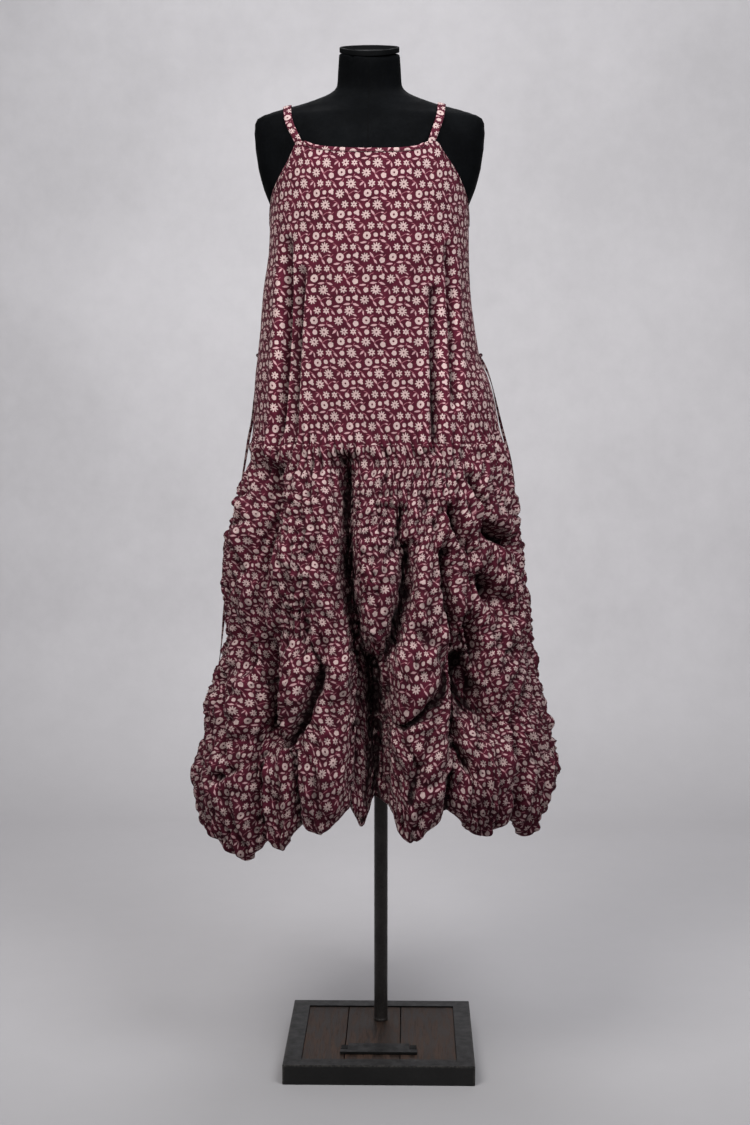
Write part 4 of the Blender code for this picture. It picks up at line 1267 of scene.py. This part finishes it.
def build_weave():
    """Plain weave as a height, for cloth laid out in metres."""
    tree, given = effect("weave", [AT, *numbers(Pitch=0.0005)], numbers(Height=None))
    right, down, _ = split(tree, given["At"])
    turn = calc(tree, "DIVIDE", 2 * pi, given["Pitch"])
    x = calc(tree, "SINE", calc(tree, "MULTIPLY", right, turn))
    y = calc(tree, "SINE", calc(tree, "MULTIPLY", down, turn))
    return close_effect(tree, Height=calc(tree, "MULTIPLY", x, y))


def build_dust():
    """Light dust and rubbing: a soft uneven mask in object space."""
    tree, given = effect("dust", numbers(Amount=0.5), numbers(Mask=None))
    at = in_object(tree)
    big = noise_at(tree, at, 0.06, 4.0, 0.6)
    fine = noise_at(tree, at, 0.004, 3.0, 0.7)
    both = calc(tree, "MULTIPLY_ADD", fine, 0.4, calc(tree, "MULTIPLY", big, 0.6))
    mask = span(tree, both, 0.42, 0.68)
    return close_effect(tree, Mask=calc(tree, "MULTIPLY", mask, given["Amount"]))


def group_named(name, build):
    return bpy.data.node_groups.get(name) or build()


def dust_on(tree, amount):
    return place_effect(tree, group_named("dust", build_dust), Amount=amount)["Mask"]


def cloth_finish(name, settings, printed=1.0, ground=None):
    """The dress's cotton: printed flowers, plain weave and small creases, with painted shade in
    its hollows and creases.
    """
    found = bpy.data.materials.get(name)
    if found:
        return found
    look, tree, shader = new_finish(
        name,
        Roughness=0.90,
        Specular_IOR_Level=0.10,
        Sheen_Weight=0.02,
        Sheen_Roughness=0.45,
    )
    uv = add_node(tree, "ShaderNodeUVMap", uv_map="cloth").outputs[0]
    ground = ground or settings.ground
    worn = noise_at(tree, uv, 0.03, 3.0, 0.6)
    darker, lighter = tinted(ground, 0.72), tinted(ground, 1.28)
    base = mix_colour(tree, span(tree, worn, 0.3, 0.7), darker, lighter)
    in_mm = stretched(tree, uv, 1000.0, 1000.0, 1000.0)
    ink_ = place_effect(tree, group_named("flower print", build_print), At=in_mm)
    worn_ink = span(tree, worn, 0.25, 0.75, 0.84, 1.0)
    worn_ink = calc(tree, "MULTIPLY", worn_ink, printed)
    for part, colour in (
        ("Stems", settings.stems),
        ("Leaves", settings.leaves),
        ("Flowers", settings.flowers),
    ):
        share = calc(tree, "MULTIPLY", ink_[part], worn_ink)
        base = mix_colour(tree, share, base, tinted(colour))
    # Painted shade: the cloth goes over to near-black ground in its hollows and along its
    # creases.
    hollow = add_node(tree, "ShaderNodeAttribute", attribute_name="hollow").outputs["Fac"]
    shade = span(tree, hollow, -0.30, 0.80, 0.0, 0.95)
    base = mix_colour(tree, shade, base, tinted(ground, 0.05))
    tree.links.new(base, shader.inputs["Base Color"])
    weave = place_effect(tree, group_named("weave", build_weave), At=uv)["Height"]
    creases = noise_at(tree, stretched(tree, uv, 1.0, 0.5, 1.0), 0.0075, 3.0, 0.6)
    fine = noise_at(tree, uv, 0.0022, 2.0, 0.6)
    height = calc(tree, "MULTIPLY_ADD", fine, 0.25, creases)
    bumps(tree, shader, (height, 0.8, 0.0030), (weave, 0.25, 0.0001))
    return look


def form_finish(settings):
    """Near-black stretch cloth with a faint seam down its middle."""
    look, tree, shader = new_finish("form cloth", Specular_IOR_Level=0.02)
    at = in_object(tree)
    off = calc(tree, "ABSOLUTE", calc(tree, "SUBTRACT", split(tree, at)[0], FORM_X))
    seam = span(tree, off, 0.0004, 0.0014, 1.0, 0.0)
    dust = dust_on(tree, 1.0)
    base = mix_colour(tree, dust, tinted(settings.form), tinted(settings.form, 2.1))
    base = mix_colour(tree, calc(tree, "MULTIPLY", seam, 0.6), base, (0.002, 0.002, 0.002, 1.0))
    rough_ = span(tree, noise_at(tree, at, 0.02, 3.0), 0.3, 0.7, 0.62, 0.80)
    feed(tree, shader, {"Base Color": base, "Roughness": rough_})
    knit = noise_at(tree, stretched(tree, at, 1.0, 1.0, 2.2), 0.0009, 1.0)
    bumps(tree, shader, (seam, 0.6, -0.0006), (knit, 0.3, 0.0002))
    return look


RUBBED = 0.004  # width of the rubbed edges


def painted_finish(name, colour, roughness, metallic, edge=None, gloss=0.25, dusting=0.003):
    """Satin paint or tube: rubbed paler at its edges, dusty on the flat."""
    look, tree, shader = new_finish(name, Specular_IOR_Level=gloss, Metallic=metallic)
    at = in_object(tree)
    dusty = tinted(colour, 1.9, dusting)
    base = mix_colour(tree, dust_on(tree, 0.8), tinted(colour), dusty)
    if edge:
        half, high = edge
        x, y, z = split(tree, at)
        x = span(tree, calc(tree, "ABSOLUTE", x), half - RUBBED, half)
        y = span(tree, calc(tree, "ABSOLUTE", y), half - RUBBED, half)
        z = span(tree, z, high - RUBBED, high)
        side = calc(tree, "MAXIMUM", x, y)
        corner = calc(tree, "MINIMUM", x, y)
        rim = calc(tree, "MAXIMUM", calc(tree, "MULTIPLY", side, z), corner)
        broken = span(tree, noise_at(tree, at, 0.006, 3.0, 0.7), 0.40, 0.62)
        rubbed = calc(tree, "MULTIPLY", calc(tree, "MULTIPLY", rim, broken), 0.7)
        base = mix_colour(tree, rubbed, base, (0.075, 0.068, 0.062, 1.0))
    drag = noise_at(tree, at, 0.015, 4.0, 0.6)
    rough_ = span(tree, drag, 0.3, 0.7, roughness - 0.08, roughness + 0.12)
    feed(tree, shader, {"Base Color": base, "Roughness": rough_})
    bumps(tree, shader, (noise_at(tree, at, 0.0012, 2.0, 0.6), 0.25, 0.0002))
    return look


def wood_finish(name, colour, shift):
    """Dark stained planks with the grain running from front to back."""
    look, tree, shader = new_finish(name, Specular_IOR_Level=0.16)
    moved = {0: in_object(tree), 1: (shift, 0.37 * shift, 0.0)}
    moved = add_node(tree, "ShaderNodeVectorMath", moved, operation="ADD").outputs[0]
    long = stretched(tree, moved, 1.0, 0.10, 1.0)
    sweep = noise_at(tree, long, 0.028, 3.0, 0.55)
    rings_ = calc(tree, "SINE", calc(tree, "MULTIPLY", sweep, 46.0))
    figure = span(tree, rings_, -1.0, 1.0)
    pores = span(tree, noise_at(tree, stretched(tree, moved, 1.0, 0.05, 1.0), 0.0016), 0.52, 0.66)
    dark, pale = tinted(colour, 0.50), tinted(colour, 1.55)
    base = mix_colour(tree, figure, dark, pale)
    base = mix_colour(tree, calc(tree, "MULTIPLY", pores, 0.6), base, dark)
    base = mix_colour(tree, dust_on(tree, 0.25), base, (0.064, 0.050, 0.042, 1.0))
    rough_ = span(tree, figure, 0.0, 1.0, 0.50, 0.66)
    feed(tree, shader, {"Base Color": base, "Roughness": rough_})
    height = calc(tree, "MULTIPLY_ADD", pores, -0.7, calc(tree, "MULTIPLY", figure, 0.3))
    bumps(tree, shader, (height, 0.4, 0.0003))
    return look


def plaster_finish(settings):
    """The studio's pale wall and floor, with faint clouding, and painted shade low down and on
    the floor toward the front.
    """
    look, tree, shader = new_finish("pale plaster", Roughness=0.9, Specular_IOR_Level=0.15)
    at = in_object(tree)
    cloud = noise_at(tree, at, 0.6, 4.0, 0.55)
    fleck = noise_at(tree, at, 0.05, 4.0, 0.65)
    both = calc(tree, "MULTIPLY_ADD", fleck, 0.25, calc(tree, "MULTIPLY", cloud, 0.75))
    dark, pale, low_shade, front = (tinted(settings.backdrop, k) for k in (0.90, 1.06, 0.60, 0.45))
    base = mix_colour(tree, span(tree, both, 0.35, 0.65), dark, pale)
    _, y, z = split(tree, at)
    # Painted shade: darker toward the bottom, below half a metre.
    low = span(tree, z, 0.0, 0.5, 1.0, 0.0)
    base = mix_colour(tree, low, base, mix_colour(tree, 0.8, base, low_shade))
    # Painted shade: the floor darker toward the front.
    near = span(tree, y, -0.7, 0.3, 0.6, 0.0)
    base = mix_colour(tree, near, base, front)
    tree.links.new(base, shader.inputs["Base Color"])
    bumps(tree, shader, (fleck, 0.15, 0.002))
    # From behind, the wall lets the view through.
    behind = add_node(tree, "ShaderNodeNewGeometry").outputs["Backfacing"]
    clear = add_node(tree, "ShaderNodeBsdfTransparent")
    both = add_node(
        tree, "ShaderNodeMixShader", {0: behind, 1: shader.outputs[0], 2: clear.outputs[0]}
    )
    out = tree.nodes["Material Output"]
    tree.links.new(both.outputs[0], out.inputs["Surface"])
    return look


# ---------------------------------------------------------------- settings


def colour_setting(name, description, default):
    return bpy.props.FloatVectorProperty(
        name=name, description=description, subtype="COLOR", min=0.0, max=1.0, default=default
    )


def power_setting(name, description, default):
    return bpy.props.FloatProperty(
        name=name, description=description, subtype="POWER", min=0.0, default=default
    )


class ClothSettings(bpy.types.PropertyGroup):
    """The dress's cloth and its print."""

    ground: colour_setting(
        "Ground", "Colour of the cloth between the motifs", (0.076, 0.0095, 0.021)
    )
    flowers: colour_setting("Flowers", "Colour of the printed flowers", (0.60, 0.44, 0.42))
    leaves: colour_setting("Leaves", "Colour of the printed leaves", (0.58, 0.345, 0.36))
    stems: colour_setting("Stems", "Colour of the thin printed stems", (0.36, 0.13, 0.16))
    thick: bpy.props.FloatProperty(
        name="Thickness",
        description="Thickness of the cloth's wall",
        subtype="DISTANCE",
        default=CLOTH,
        min=0.0004,
        max=0.003,
    )


class FormSettings(bpy.types.PropertyGroup):
    """The dress form and its stand."""

    form: colour_setting("Form", "Colour of the torso's cover", (0.0016, 0.0018, 0.0021))
    steel: colour_setting(
        "Stand", "Colour of the painted stand and its plate", (0.0052, 0.0050, 0.0048)
    )
    pole: colour_setting("Pole", "Colour of the pole", (0.0400, 0.0365, 0.0345))
    wood: colour_setting("Planks", "Colour of the stained planks", (0.037, 0.022, 0.016))


class StudioSettings(bpy.types.PropertyGroup):
    """The floor, the wall and the lights."""

    backdrop: colour_setting("Backdrop", "Colour of the wall and the floor", (0.66, 0.645, 0.66))
    key: power_setting("Key light", "Power of the large light in front", 20.5)
    fill: power_setting("Fill light", "Power of the soft light on the other side", 20.0)
    wall: power_setting("Wall light", "Power of the light on the wall behind", 34.0)
    back: power_setting(
        "Back light", "Power of the soft light on the back and the floor behind", 7.0
    )


# ---------------------------------------------------------------- pieces


def build_panel(node, point, shares, above, settings):
    """One panel of the dress; above is where its top row lies on the flat cloth."""
    angles = column_angles(node.split("_")[1])
    angle, share = np.meshgrid(angles, shares)
    middle = point(angle, share)
    if point is skirt_point:
        count = np.arange(len(angles))
        seam = 1 - ease((np.minimum(count, count[::-1]) - 1) / SEAM_HELD)
        top = 1 - ease((np.arange(len(shares)) - 1) / TOP_HELD)
        inside = ease((shares - 1) / INSIDE_HELD)
        held = np.maximum(seam[None, :], np.maximum(top, inside)[:, None])
        middle = crumple(middle, held)
    uv = cloth_uv(middle, above)
    # Painted shade: the hollows, and on the skirt its crease lines, darken the cloth's colour.
    under = hollows(middle)
    if point is skirt_point:
        creases = sum(creased(middle, size, seed) for size, seed in CREASE_LINES)
        below = ease((WAIST_Z - middle[..., 2]) / CREASED_FROM)
        under = np.maximum(under, CREASED * below * np.minimum(creases, 1))
    thing = wall(node + "_cloth", middle, settings.thick, uv, under)
    finish_piece(thing, cloth_finish("printed cotton", settings), node)
    return uv


WAIST_ROWS = {}  # where each bodice panel's last row lies on the flat cloth


class DRESS_OT_bodice(bpy.types.Operator):
    """Build the bodice's front and back panels"""

    bl_idname = "dress.bodice"
    bl_label = "Bodice"

    def execute(self, context):
        settings = context.scene.dress_cloth
        shares = np.concatenate([[0], np.linspace(0.004, 0.9994, BODICE_ROWS - 1)])
        for side in COLUMNS:
            uv = build_panel(
                "bodice_" + side, bodice_point, shares, None, settings
            )
            WAIST_ROWS[side] = uv[-1]
        return {"FINISHED"}


class DRESS_OT_skirt(bpy.types.Operator):
    """Build the skirt's gathered front and back panels"""

    bl_idname = "dress.skirt"
    bl_label = "Skirt"

    def execute(self, context):
        settings = context.scene.dress_cloth
        for side, above in WAIST_ROWS.items():
            build_panel(
                "skirt_" + side, skirt_point, skirt_shares(), above, settings,
            )
        return {"FINISHED"}


BINDING_PROFILE = (
    # down from the edge, out from the panel's middle
    (0.0060, 0.00080),
    (0.0057, 0.00165),
    (0.0035, 0.00190),
    (0.0010, 0.00170),
    (-0.0006, 0.00110),
    (-0.0011, 0.00000),
    (-0.0006, -0.00110),
    (0.0010, -0.00160),
    (0.0055, -0.00150),
    (0.0055, -0.00085),
    (0.0010, -0.00080),
    (0.0002, 0.00000),
    (0.0010, 0.00078),
)


# Where each of its points lies across the flat strip.
BINDING_ROUND = (
    0.0, 0.001, 0.003, 0.0055, 0.007, 0.008, 0.009, 0.011, 0.015, 0.015, 0.011, 0.008, 0.006,
)


def edge_ways(edge, low):
    """The directions down and out at the points of an edge."""
    down = unit(low - edge)
    return down, unit(np.cross(down, unit(np.gradient(edge, axis=0))))


class DRESS_OT_bindings(bpy.types.Operator):
    """Build the bindings folded over the neck and armhole edges"""

    bl_idname = "dress.bindings"
    bl_label = "Bindings"

    def execute(self, context):
        settings = context.scene.dress_cloth
        look = cloth_finish("printed cotton", settings)
        for node, (start, end, count) in BINDINGS.items():
            angles = np.radians(np.linspace(start, end, count))
            height = top_edge(angles) - WAIST_Z
            edge, low = (bodice_point(angles, down / height) for down in (0.0, 0.006))
            down, out = edge_ways(edge, low)
            loops = np.stack([edge + down * d + out * o for d, o in BINDING_PROFILE], 1)
            uv = pairs(run_length(edge)[:, None], BINDING_ROUND)
            thing = tube(node + "_cloth", loops[:, ::-1], uv[:, ::-1].reshape(-1, 2))
            finish_piece(thing, look, node)
        return {"FINISHED"}


def form_surface():
    return BVHTree.FromObject(
        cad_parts["form_torso"], bpy.context.evaluated_depsgraph_get()
    )


def on_form(form, x, turn):
    """Where a ray from inside the form, in the plane of this x, comes out of it."""
    way = Vector((0.0, -cos(turn), sin(turn)))
    hit = form.ray_cast(Vector((x, 0.0, FORM_CORE_Z)), way)
    return np.array(hit[0])


class DRESS_OT_straps(bpy.types.Operator):
    """Build the shoulder straps over the form"""

    bl_idname = "dress.straps"
    bl_label = "Straps"

    def execute(self, context):
        settings = context.scene.dress_cloth
        look = cloth_finish("printed cotton", settings)
        form = form_surface()
        t = np.linspace(-1, 1, STRAP_COLUMNS)
        turns = np.linspace(STRAP_START, pi - STRAP_END, STRAP_COLUMNS)
        across = np.linspace(-0.5, 0.5, 7)
        for node, (front_x, top_x, back_x, front_turn, back_turn) in STRAPS.items():
            xs = top_x + (np.where(t < 0, front_x, back_x) - top_x) * t**2
            wide = STRAP_WIDE * (1 - STRAP_TAPER * np.abs(t))
            grid = np.array(
                [
                    [on_form(form, x + w * k, turn) for k in across]
                    for x, w, turn in zip(xs, wide, turns)
                ]
            )
            grid = soften(grid, 0, 4)
            along = np.gradient(grid[:, 3], axis=0)
            out = unit(np.cross(grid[:, -1] - grid[:, 0], along))[:, None]
            bow = STRAP_BOW * (1 - (2 * across) ** 2)
            middle = grid + out * (STRAP_THICK / 2 + STRAP_LIFT + bow[None, :, None])
            for end, turn in ((0, front_turn), (-1, back_turn)):
                edge = bodice_point(radians(turn), STRAP_DOWN)
                near = ease((np.abs(t) - 0.45) / 0.55) * (np.sign(t) == np.sign(t[end]))
                middle = middle + near[:, None, None] * (edge - middle[end, 3])
            middle = middle[::-1]
            uv = pairs(across * STRAP_WIDE, run_length(middle[:, 3])[:, None])
            thing = wall(node + "_cloth", middle, STRAP_THICK, uv)
            finish_piece(thing, look, node)
        return {"FINISHED"}


def build_knot(name, place, look):
    """A small overhand knot."""
    t = np.linspace(0, 2 * pi, 60, endpoint=False)
    line = np.stack(
        [
            np.sin(t) + 2 * np.sin(2 * t),
            0.9 * np.sin(3 * t),
            np.cos(t) - 2 * np.cos(2 * t),
        ],
        -1,
    )
    line = np.asarray(place) + KNOT_SIZE * line
    line = np.concatenate([line, line[:1]])
    side, up = frames_along(line)
    turn = np.linspace(0, 2 * pi, 8, endpoint=False)
    loops = [
        p + KNOT_THREAD * (np.outer(np.cos(turn), s) + np.outer(np.sin(turn), u))
        for p, s, u in zip(line, side, up)
    ]
    uv = pairs(np.linspace(0, 0.008, 8), np.linspace(0, 0.04, len(loops))[:, None])
    thing = tube(name, loops, uv.reshape(-1, 2))
    finish_piece(thing, look)
    return thing


class DRESS_OT_ties(bpy.types.Operator):
    """Build the two side ties, each hanging from its knot"""

    bl_idname = "dress.ties"
    bl_label = "Side ties"

    def execute(self, context):
        settings = context.scene.dress_cloth
        look = cloth_finish("tie cotton", settings, TIE_PRINT, TIE_GROUND)
        for node, route, twist in (
            ("side_tie_left", LEFT_TIE, LEFT_TWIST),
            ("side_tie_right", RIGHT_TIE, RIGHT_TWIST),
        ):
            line = smooth_line(route, TIE_COLUMNS)
            side, up = frames_along(line)
            share = np.linspace(0, 1, len(line))
            turn = twist * (share + 0.05 * np.sin(9 * share))
            corners = np.linspace(0, 2 * pi, 12, endpoint=False)
            across, through = np.cos(corners) * TIE_WIDE / 2, np.sin(corners) * TIE_THICK / 2
            loops = []
            for p, s, u, a in zip(line, side, up, turn):
                wide = cos(a) * s + sin(a) * u
                thick = cos(a) * u - sin(a) * s
                loops.append(p + np.outer(across, wide) + np.outer(through, thick))
            length = run_length(line)
            uv = pairs(across, length[:, None]).reshape(-1, 2)
            tie = tube(node + "_cloth", loops, uv)
            finish_piece(tie, look, node)
            knot = build_knot(node + "_knot", line[0] + (0, 0, 0.002), look)
        return {"FINISHED"}


THREAD = (0.16, 0.035, 0.05, 1.0)
STITCH_DOWN = 0.0049  # from the edge, and out from the panel's middle
STITCH_OUT = 0.0019


def stitch_tree(look):
    """Short stitches along a curve, evenly spaced and turned along it."""
    tree, given = effect(
        "stitches",
        [("Line", "Geometry", None), *numbers(Pitch=0.003, Long=0.0021, Thick=0.00022)],
        [("Stitches", "Geometry", None)],
        "GeometryNodeTree",
    )
    along = {"Curve": given["Line"], "Length": given["Pitch"]}
    even = add_node(tree, "GeometryNodeResampleCurve", along, mode="LENGTH")
    sizes = {"Vertices": 6, "Radius": given["Thick"], "Depth": given["Long"]}
    stitch = add_node(tree, "GeometryNodeMeshCylinder", sizes)
    way = {"Vector": add_node(tree, "GeometryNodeInputTangent").outputs[0]}
    aimed = add_node(tree, "FunctionNodeAlignRotationToVector", way, axis="Z")
    places = {
        "Points": even.outputs[0],
        "Instance": stitch.outputs["Mesh"],
        "Rotation": aimed.outputs[0],
    }
    placed = add_node(tree, "GeometryNodeInstanceOnPoints", places)
    real = add_node(tree, "GeometryNodeRealizeInstances", {0: placed.outputs[0]})
    dye = {"Geometry": real.outputs[0], "Material": look}
    dyed = add_node(tree, "GeometryNodeSetMaterial", dye)
    return close_effect(tree, Stitches=dyed.outputs[0])


class DRESS_OT_stitches(bpy.types.Operator):
    """Sew small stitches along the bindings"""

    bl_idname = "dress.stitches"
    bl_label = "Stitches"

    def execute(self, context):
        look = new_finish("thread", Roughness=0.6, Sheen_Weight=0.2, Base_Color=THREAD)[0]
        tree = stitch_tree(look)
        for node, (start, end, count) in BINDINGS.items():
            angles = np.radians(np.linspace(start + 0.4, end - 0.4, count))
            height = top_edge(angles) - WAIST_Z
            edge = bodice_point(angles, 0.0)
            low = bodice_point(angles, STITCH_DOWN / height)
            _, out = edge_ways(edge, low)
            data = bpy.data.curves.new(node + "_stitches", "CURVE")
            data.dimensions = "3D"
            spline = data.splines.new("POLY")
            spline.points.add(count - 1)
            for point, place in zip(spline.points, low + out * STITCH_OUT):
                point.co = (*place, 1)
            thing = show(node + "_stitches", data)
            thing.modifiers.new("sewn", "NODES").node_group = tree
            graph = bpy.context.evaluated_depsgraph_get()
            mesh = bpy.data.meshes.new_from_object(thing.evaluated_get(graph))
            bpy.data.objects.remove(thing)
            stitches = show(node + "_stitches", mesh)
            finish_piece(stitches, look)
        return {"FINISHED"}


CAP_PROFILE = (
    # down from the top, in from the neck's outline
    (0.0080, 0.0018),
    (0.0074, 0.0011),
    (0.0010, 0.0011),
    (0.0003, 0.0014),
    (0.0000, 0.0020),
    (0.0000, 0.0032),
    (0.0006, 0.0040),
    (0.7 * DISH_DEEP, 0.0052),
    (DISH_DEEP, 0.0085),
    (DISH_DEEP, 0.0220),
)


class DRESS_OT_form(bpy.types.Operator):
    """Build the torso and its neck cap"""

    bl_idname = "dress.form"
    bl_label = "Dress form"

    def execute(self, context):
        settings = context.scene.dress_form
        torso = rounded_copy("form_torso", "torso")
        finish_piece(torso, form_finish(settings), "form_torso")
        cap = tube("neck_cap", [neck_ring(NECK_TOP - down, in_) for down, in_ in CAP_PROFILE])
        cap.data.set_sharp_from_angle(angle=radians(50))
        colour = tinted(settings.form, CAP_SHARE)[:3]
        look = painted_finish("cap", colour, 0.70, 0.0, gloss=0.04, dusting=0.0006)
        finish_piece(cap, look, "form_neck_cap")
        return {"FINISHED"}


class DRESS_OT_stand(bpy.types.Operator):
    """Build the pole and finish the square stand"""

    bl_idname = "dress.stand"
    bl_label = "Stand"

    def execute(self, context):
        settings = context.scene.dress_form
        low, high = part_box("form_pole")
        pole = lathe(
            "pole",
            (
                (FOOT_RADIUS - 0.0006, low[2]),
                (FOOT_RADIUS, low[2] + 0.0006),
                (FOOT_RADIUS, low[2] + FOOT_HIGH - 0.0004),
                (FOOT_RADIUS - 0.0003, low[2] + FOOT_HIGH),
                (POLE_RADIUS, low[2] + FOOT_HIGH + 0.0002),
                (POLE_RADIUS, high[2] - 0.0006),
                (POLE_RADIUS - 0.0006, high[2]),
            ),
            POLE_Y,
        )
        look = painted_finish("pole", settings.pole, 0.42, 0.55)
        finish_piece(pole, look, "form_pole")
        half, _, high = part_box("base_frame")[1]
        steel = painted_finish("stand paint", settings.steel, 0.50, 0.0, (half, high))
        darker, darkest = (tinted(settings.steel, k)[:3] for k in (PLATE_SHARE, LUG_SHARE))
        lug = painted_finish("lug paint", darkest, 0.70, 0.0)
        looks = {
            "base_frame": steel,
            "base_plate": painted_finish("plate paint", darker, 0.50, 0.0),
            "plate_lug_left": lug,
            "plate_lug_right": lug,
        }
        for shift, side in enumerate(("left", "middle", "right")):
            name = "plank_" + side
            looks[name] = wood_finish(name, settings.wood, GRAIN_SHIFT * shift)
        for node, look in looks.items():
            paint(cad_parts[node], look)
        return {"FINISHED"}


BEND_Y = 1.55  # where the floor starts to bend up
BEND_RADIUS = 0.5
WALL_Y = 2.05
WALL_HIGH = 6.0
FLOOR_FRONT = -6.0
FLOOR_HALF = 7
# What the lights are aimed at.
DRESS_FRONT = (0.0, 0.0, 1.42)
WALL_MIDDLE = (0.0, 2.2, 1.2)
DRESS_BACK = (0.0, 0.2, 0.7)
LIGHTS = (
    # name and setting, place, aim, size, spread in degrees, colour
    ("key", (-0.95, -1.50, 2.70), DRESS_FRONT, 1.3, 105, (1.0, 0.985, 0.97)),
    ("fill", (1.00, -1.50, 2.70), DRESS_FRONT, 1.3, 105, (0.97, 0.98, 1.0)),
    ("wall", (0.0, 0.45, 3.6), WALL_MIDDLE, 2.6, 180, (0.98, 0.98, 1.0)),
    ("back", (0.0, 1.45, 2.8), DRESS_BACK, 1.2, 110, (0.98, 0.98, 1.0)),
)
SKY = (0.95, 0.96, 1.0, 1.0)
SKY_LIGHT = 0.20
SKY_SEEN = 0.52
CAMERA_PLACE = (0.0463, -2.784, 1.056)
CAMERA_DOWN = 5.2  # degrees
CAMERA_LEFT = 1.13
CAMERA_LENS = 56.0  # millimetres, on a film 36 high
FILM = 36.0


class DRESS_OT_studio(bpy.types.Operator):
    """Build the wall, the floor, the lights and the camera"""

    bl_idname = "dress.studio"
    bl_label = "Studio"

    def execute(self, context):
        settings = context.scene.dress_studio
        bend_ = [
            (BEND_Y + BEND_RADIUS * sin(a), BEND_RADIUS - BEND_RADIUS * cos(a))
            for a in np.linspace(0, pi / 2, 24)
        ]
        profile = [(FLOOR_FRONT, 0.0), *bend_, (WALL_Y, WALL_HIGH)]
        xs = np.linspace(-FLOOR_HALF, FLOOR_HALF, 15)
        points = [(x, y, z) for y, z in profile for x in xs]
        count = len(xs)
        faces = [
            (a, a + 1, a + 1 + count, a + count)
            for row in range(len(profile) - 1)
            for a in range(row * count, (row + 1) * count - 1)
        ]
        floor = add_piece("backdrop", points, faces)
        floor.data.materials.append(plaster_finish(settings))
        for name, place, aim, size, spread, colour in LIGHTS:
            light = bpy.data.lights.new(name, "AREA")
            light.shape = "SQUARE"
            light.size = size
            light.energy = getattr(settings, name)
            light.color = colour
            light.spread = radians(spread)
            lamp = show(name, light)
            lamp.location = place
            way = Vector(aim) - Vector(place)
            lamp.rotation_euler = way.to_track_quat("-Z", "Y").to_euler()
        world = bpy.data.worlds.new("studio")
        world.use_nodes = True
        sky = world.node_tree.nodes["Background"].inputs
        sky["Color"].default_value = SKY
        # Seen straight on, the sky is as pale as the wall; it lights the scene less.
        seen = add_node(world.node_tree, "ShaderNodeLightPath").outputs["Is Camera Ray"]
        strength = span(world.node_tree, seen, 0.0, 1.0, SKY_LIGHT, SKY_SEEN)
        world.node_tree.links.new(strength, sky["Strength"])
        context.scene.world = world
        context.scene.view_settings.view_transform = "Standard"
        lens = bpy.data.cameras.new("camera")
        lens.sensor_fit = "VERTICAL"
        lens.sensor_height = lens.sensor_width = FILM
        lens.lens = CAMERA_LENS
        camera = show("camera", lens)
        camera.location = CAMERA_PLACE
        camera.rotation_euler = (radians(90 - CAMERA_DOWN), 0.0, radians(CAMERA_LEFT))
        context.scene.camera = camera
        return {"FINISHED"}


STEPS = (
    DRESS_OT_studio,
    DRESS_OT_ties,
    DRESS_OT_bodice,
    DRESS_OT_skirt,
    DRESS_OT_bindings,
    DRESS_OT_straps,
    DRESS_OT_stitches,
    DRESS_OT_form,
    DRESS_OT_stand,
)


class DRESS_PT_panel(bpy.types.Panel):
    """The dress's settings and its steps"""

    bl_idname = "DRESS_PT_panel"
    bl_label = "Dress"
    bl_space_type = "VIEW_3D"
    bl_region_type = "UI"
    bl_category = "Dress"

    def draw(self, context):
        layout = self.layout
        for name, kind in SETTINGS.items():
            box = layout.box()
            for key in kind.__annotations__:
                box.prop(getattr(context.scene, name), key)
        for step in STEPS:
            layout.operator(step.bl_idname)


SETTINGS = {
    "dress_cloth": ClothSettings,
    "dress_form": FormSettings,
    "dress_studio": StudioSettings,
}


def register():
    for kind in (*SETTINGS.values(), *STEPS, DRESS_PT_panel):
        bpy.utils.register_class(kind)
    for name, kind in SETTINGS.items():
        setattr(bpy.types.Scene, name, bpy.props.PointerProperty(type=kind))


def unregister():
    for name in SETTINGS:
        delattr(bpy.types.Scene, name)
    for kind in (DRESS_PT_panel, *reversed(STEPS), *SETTINGS.values()):
        bpy.utils.unregister_class(kind)


def main():
    register()
    for step in STEPS:
        family, name = step.bl_idname.split(".")
        getattr(getattr(bpy.ops, family), name)()


if __name__ == "__main__":
    main()
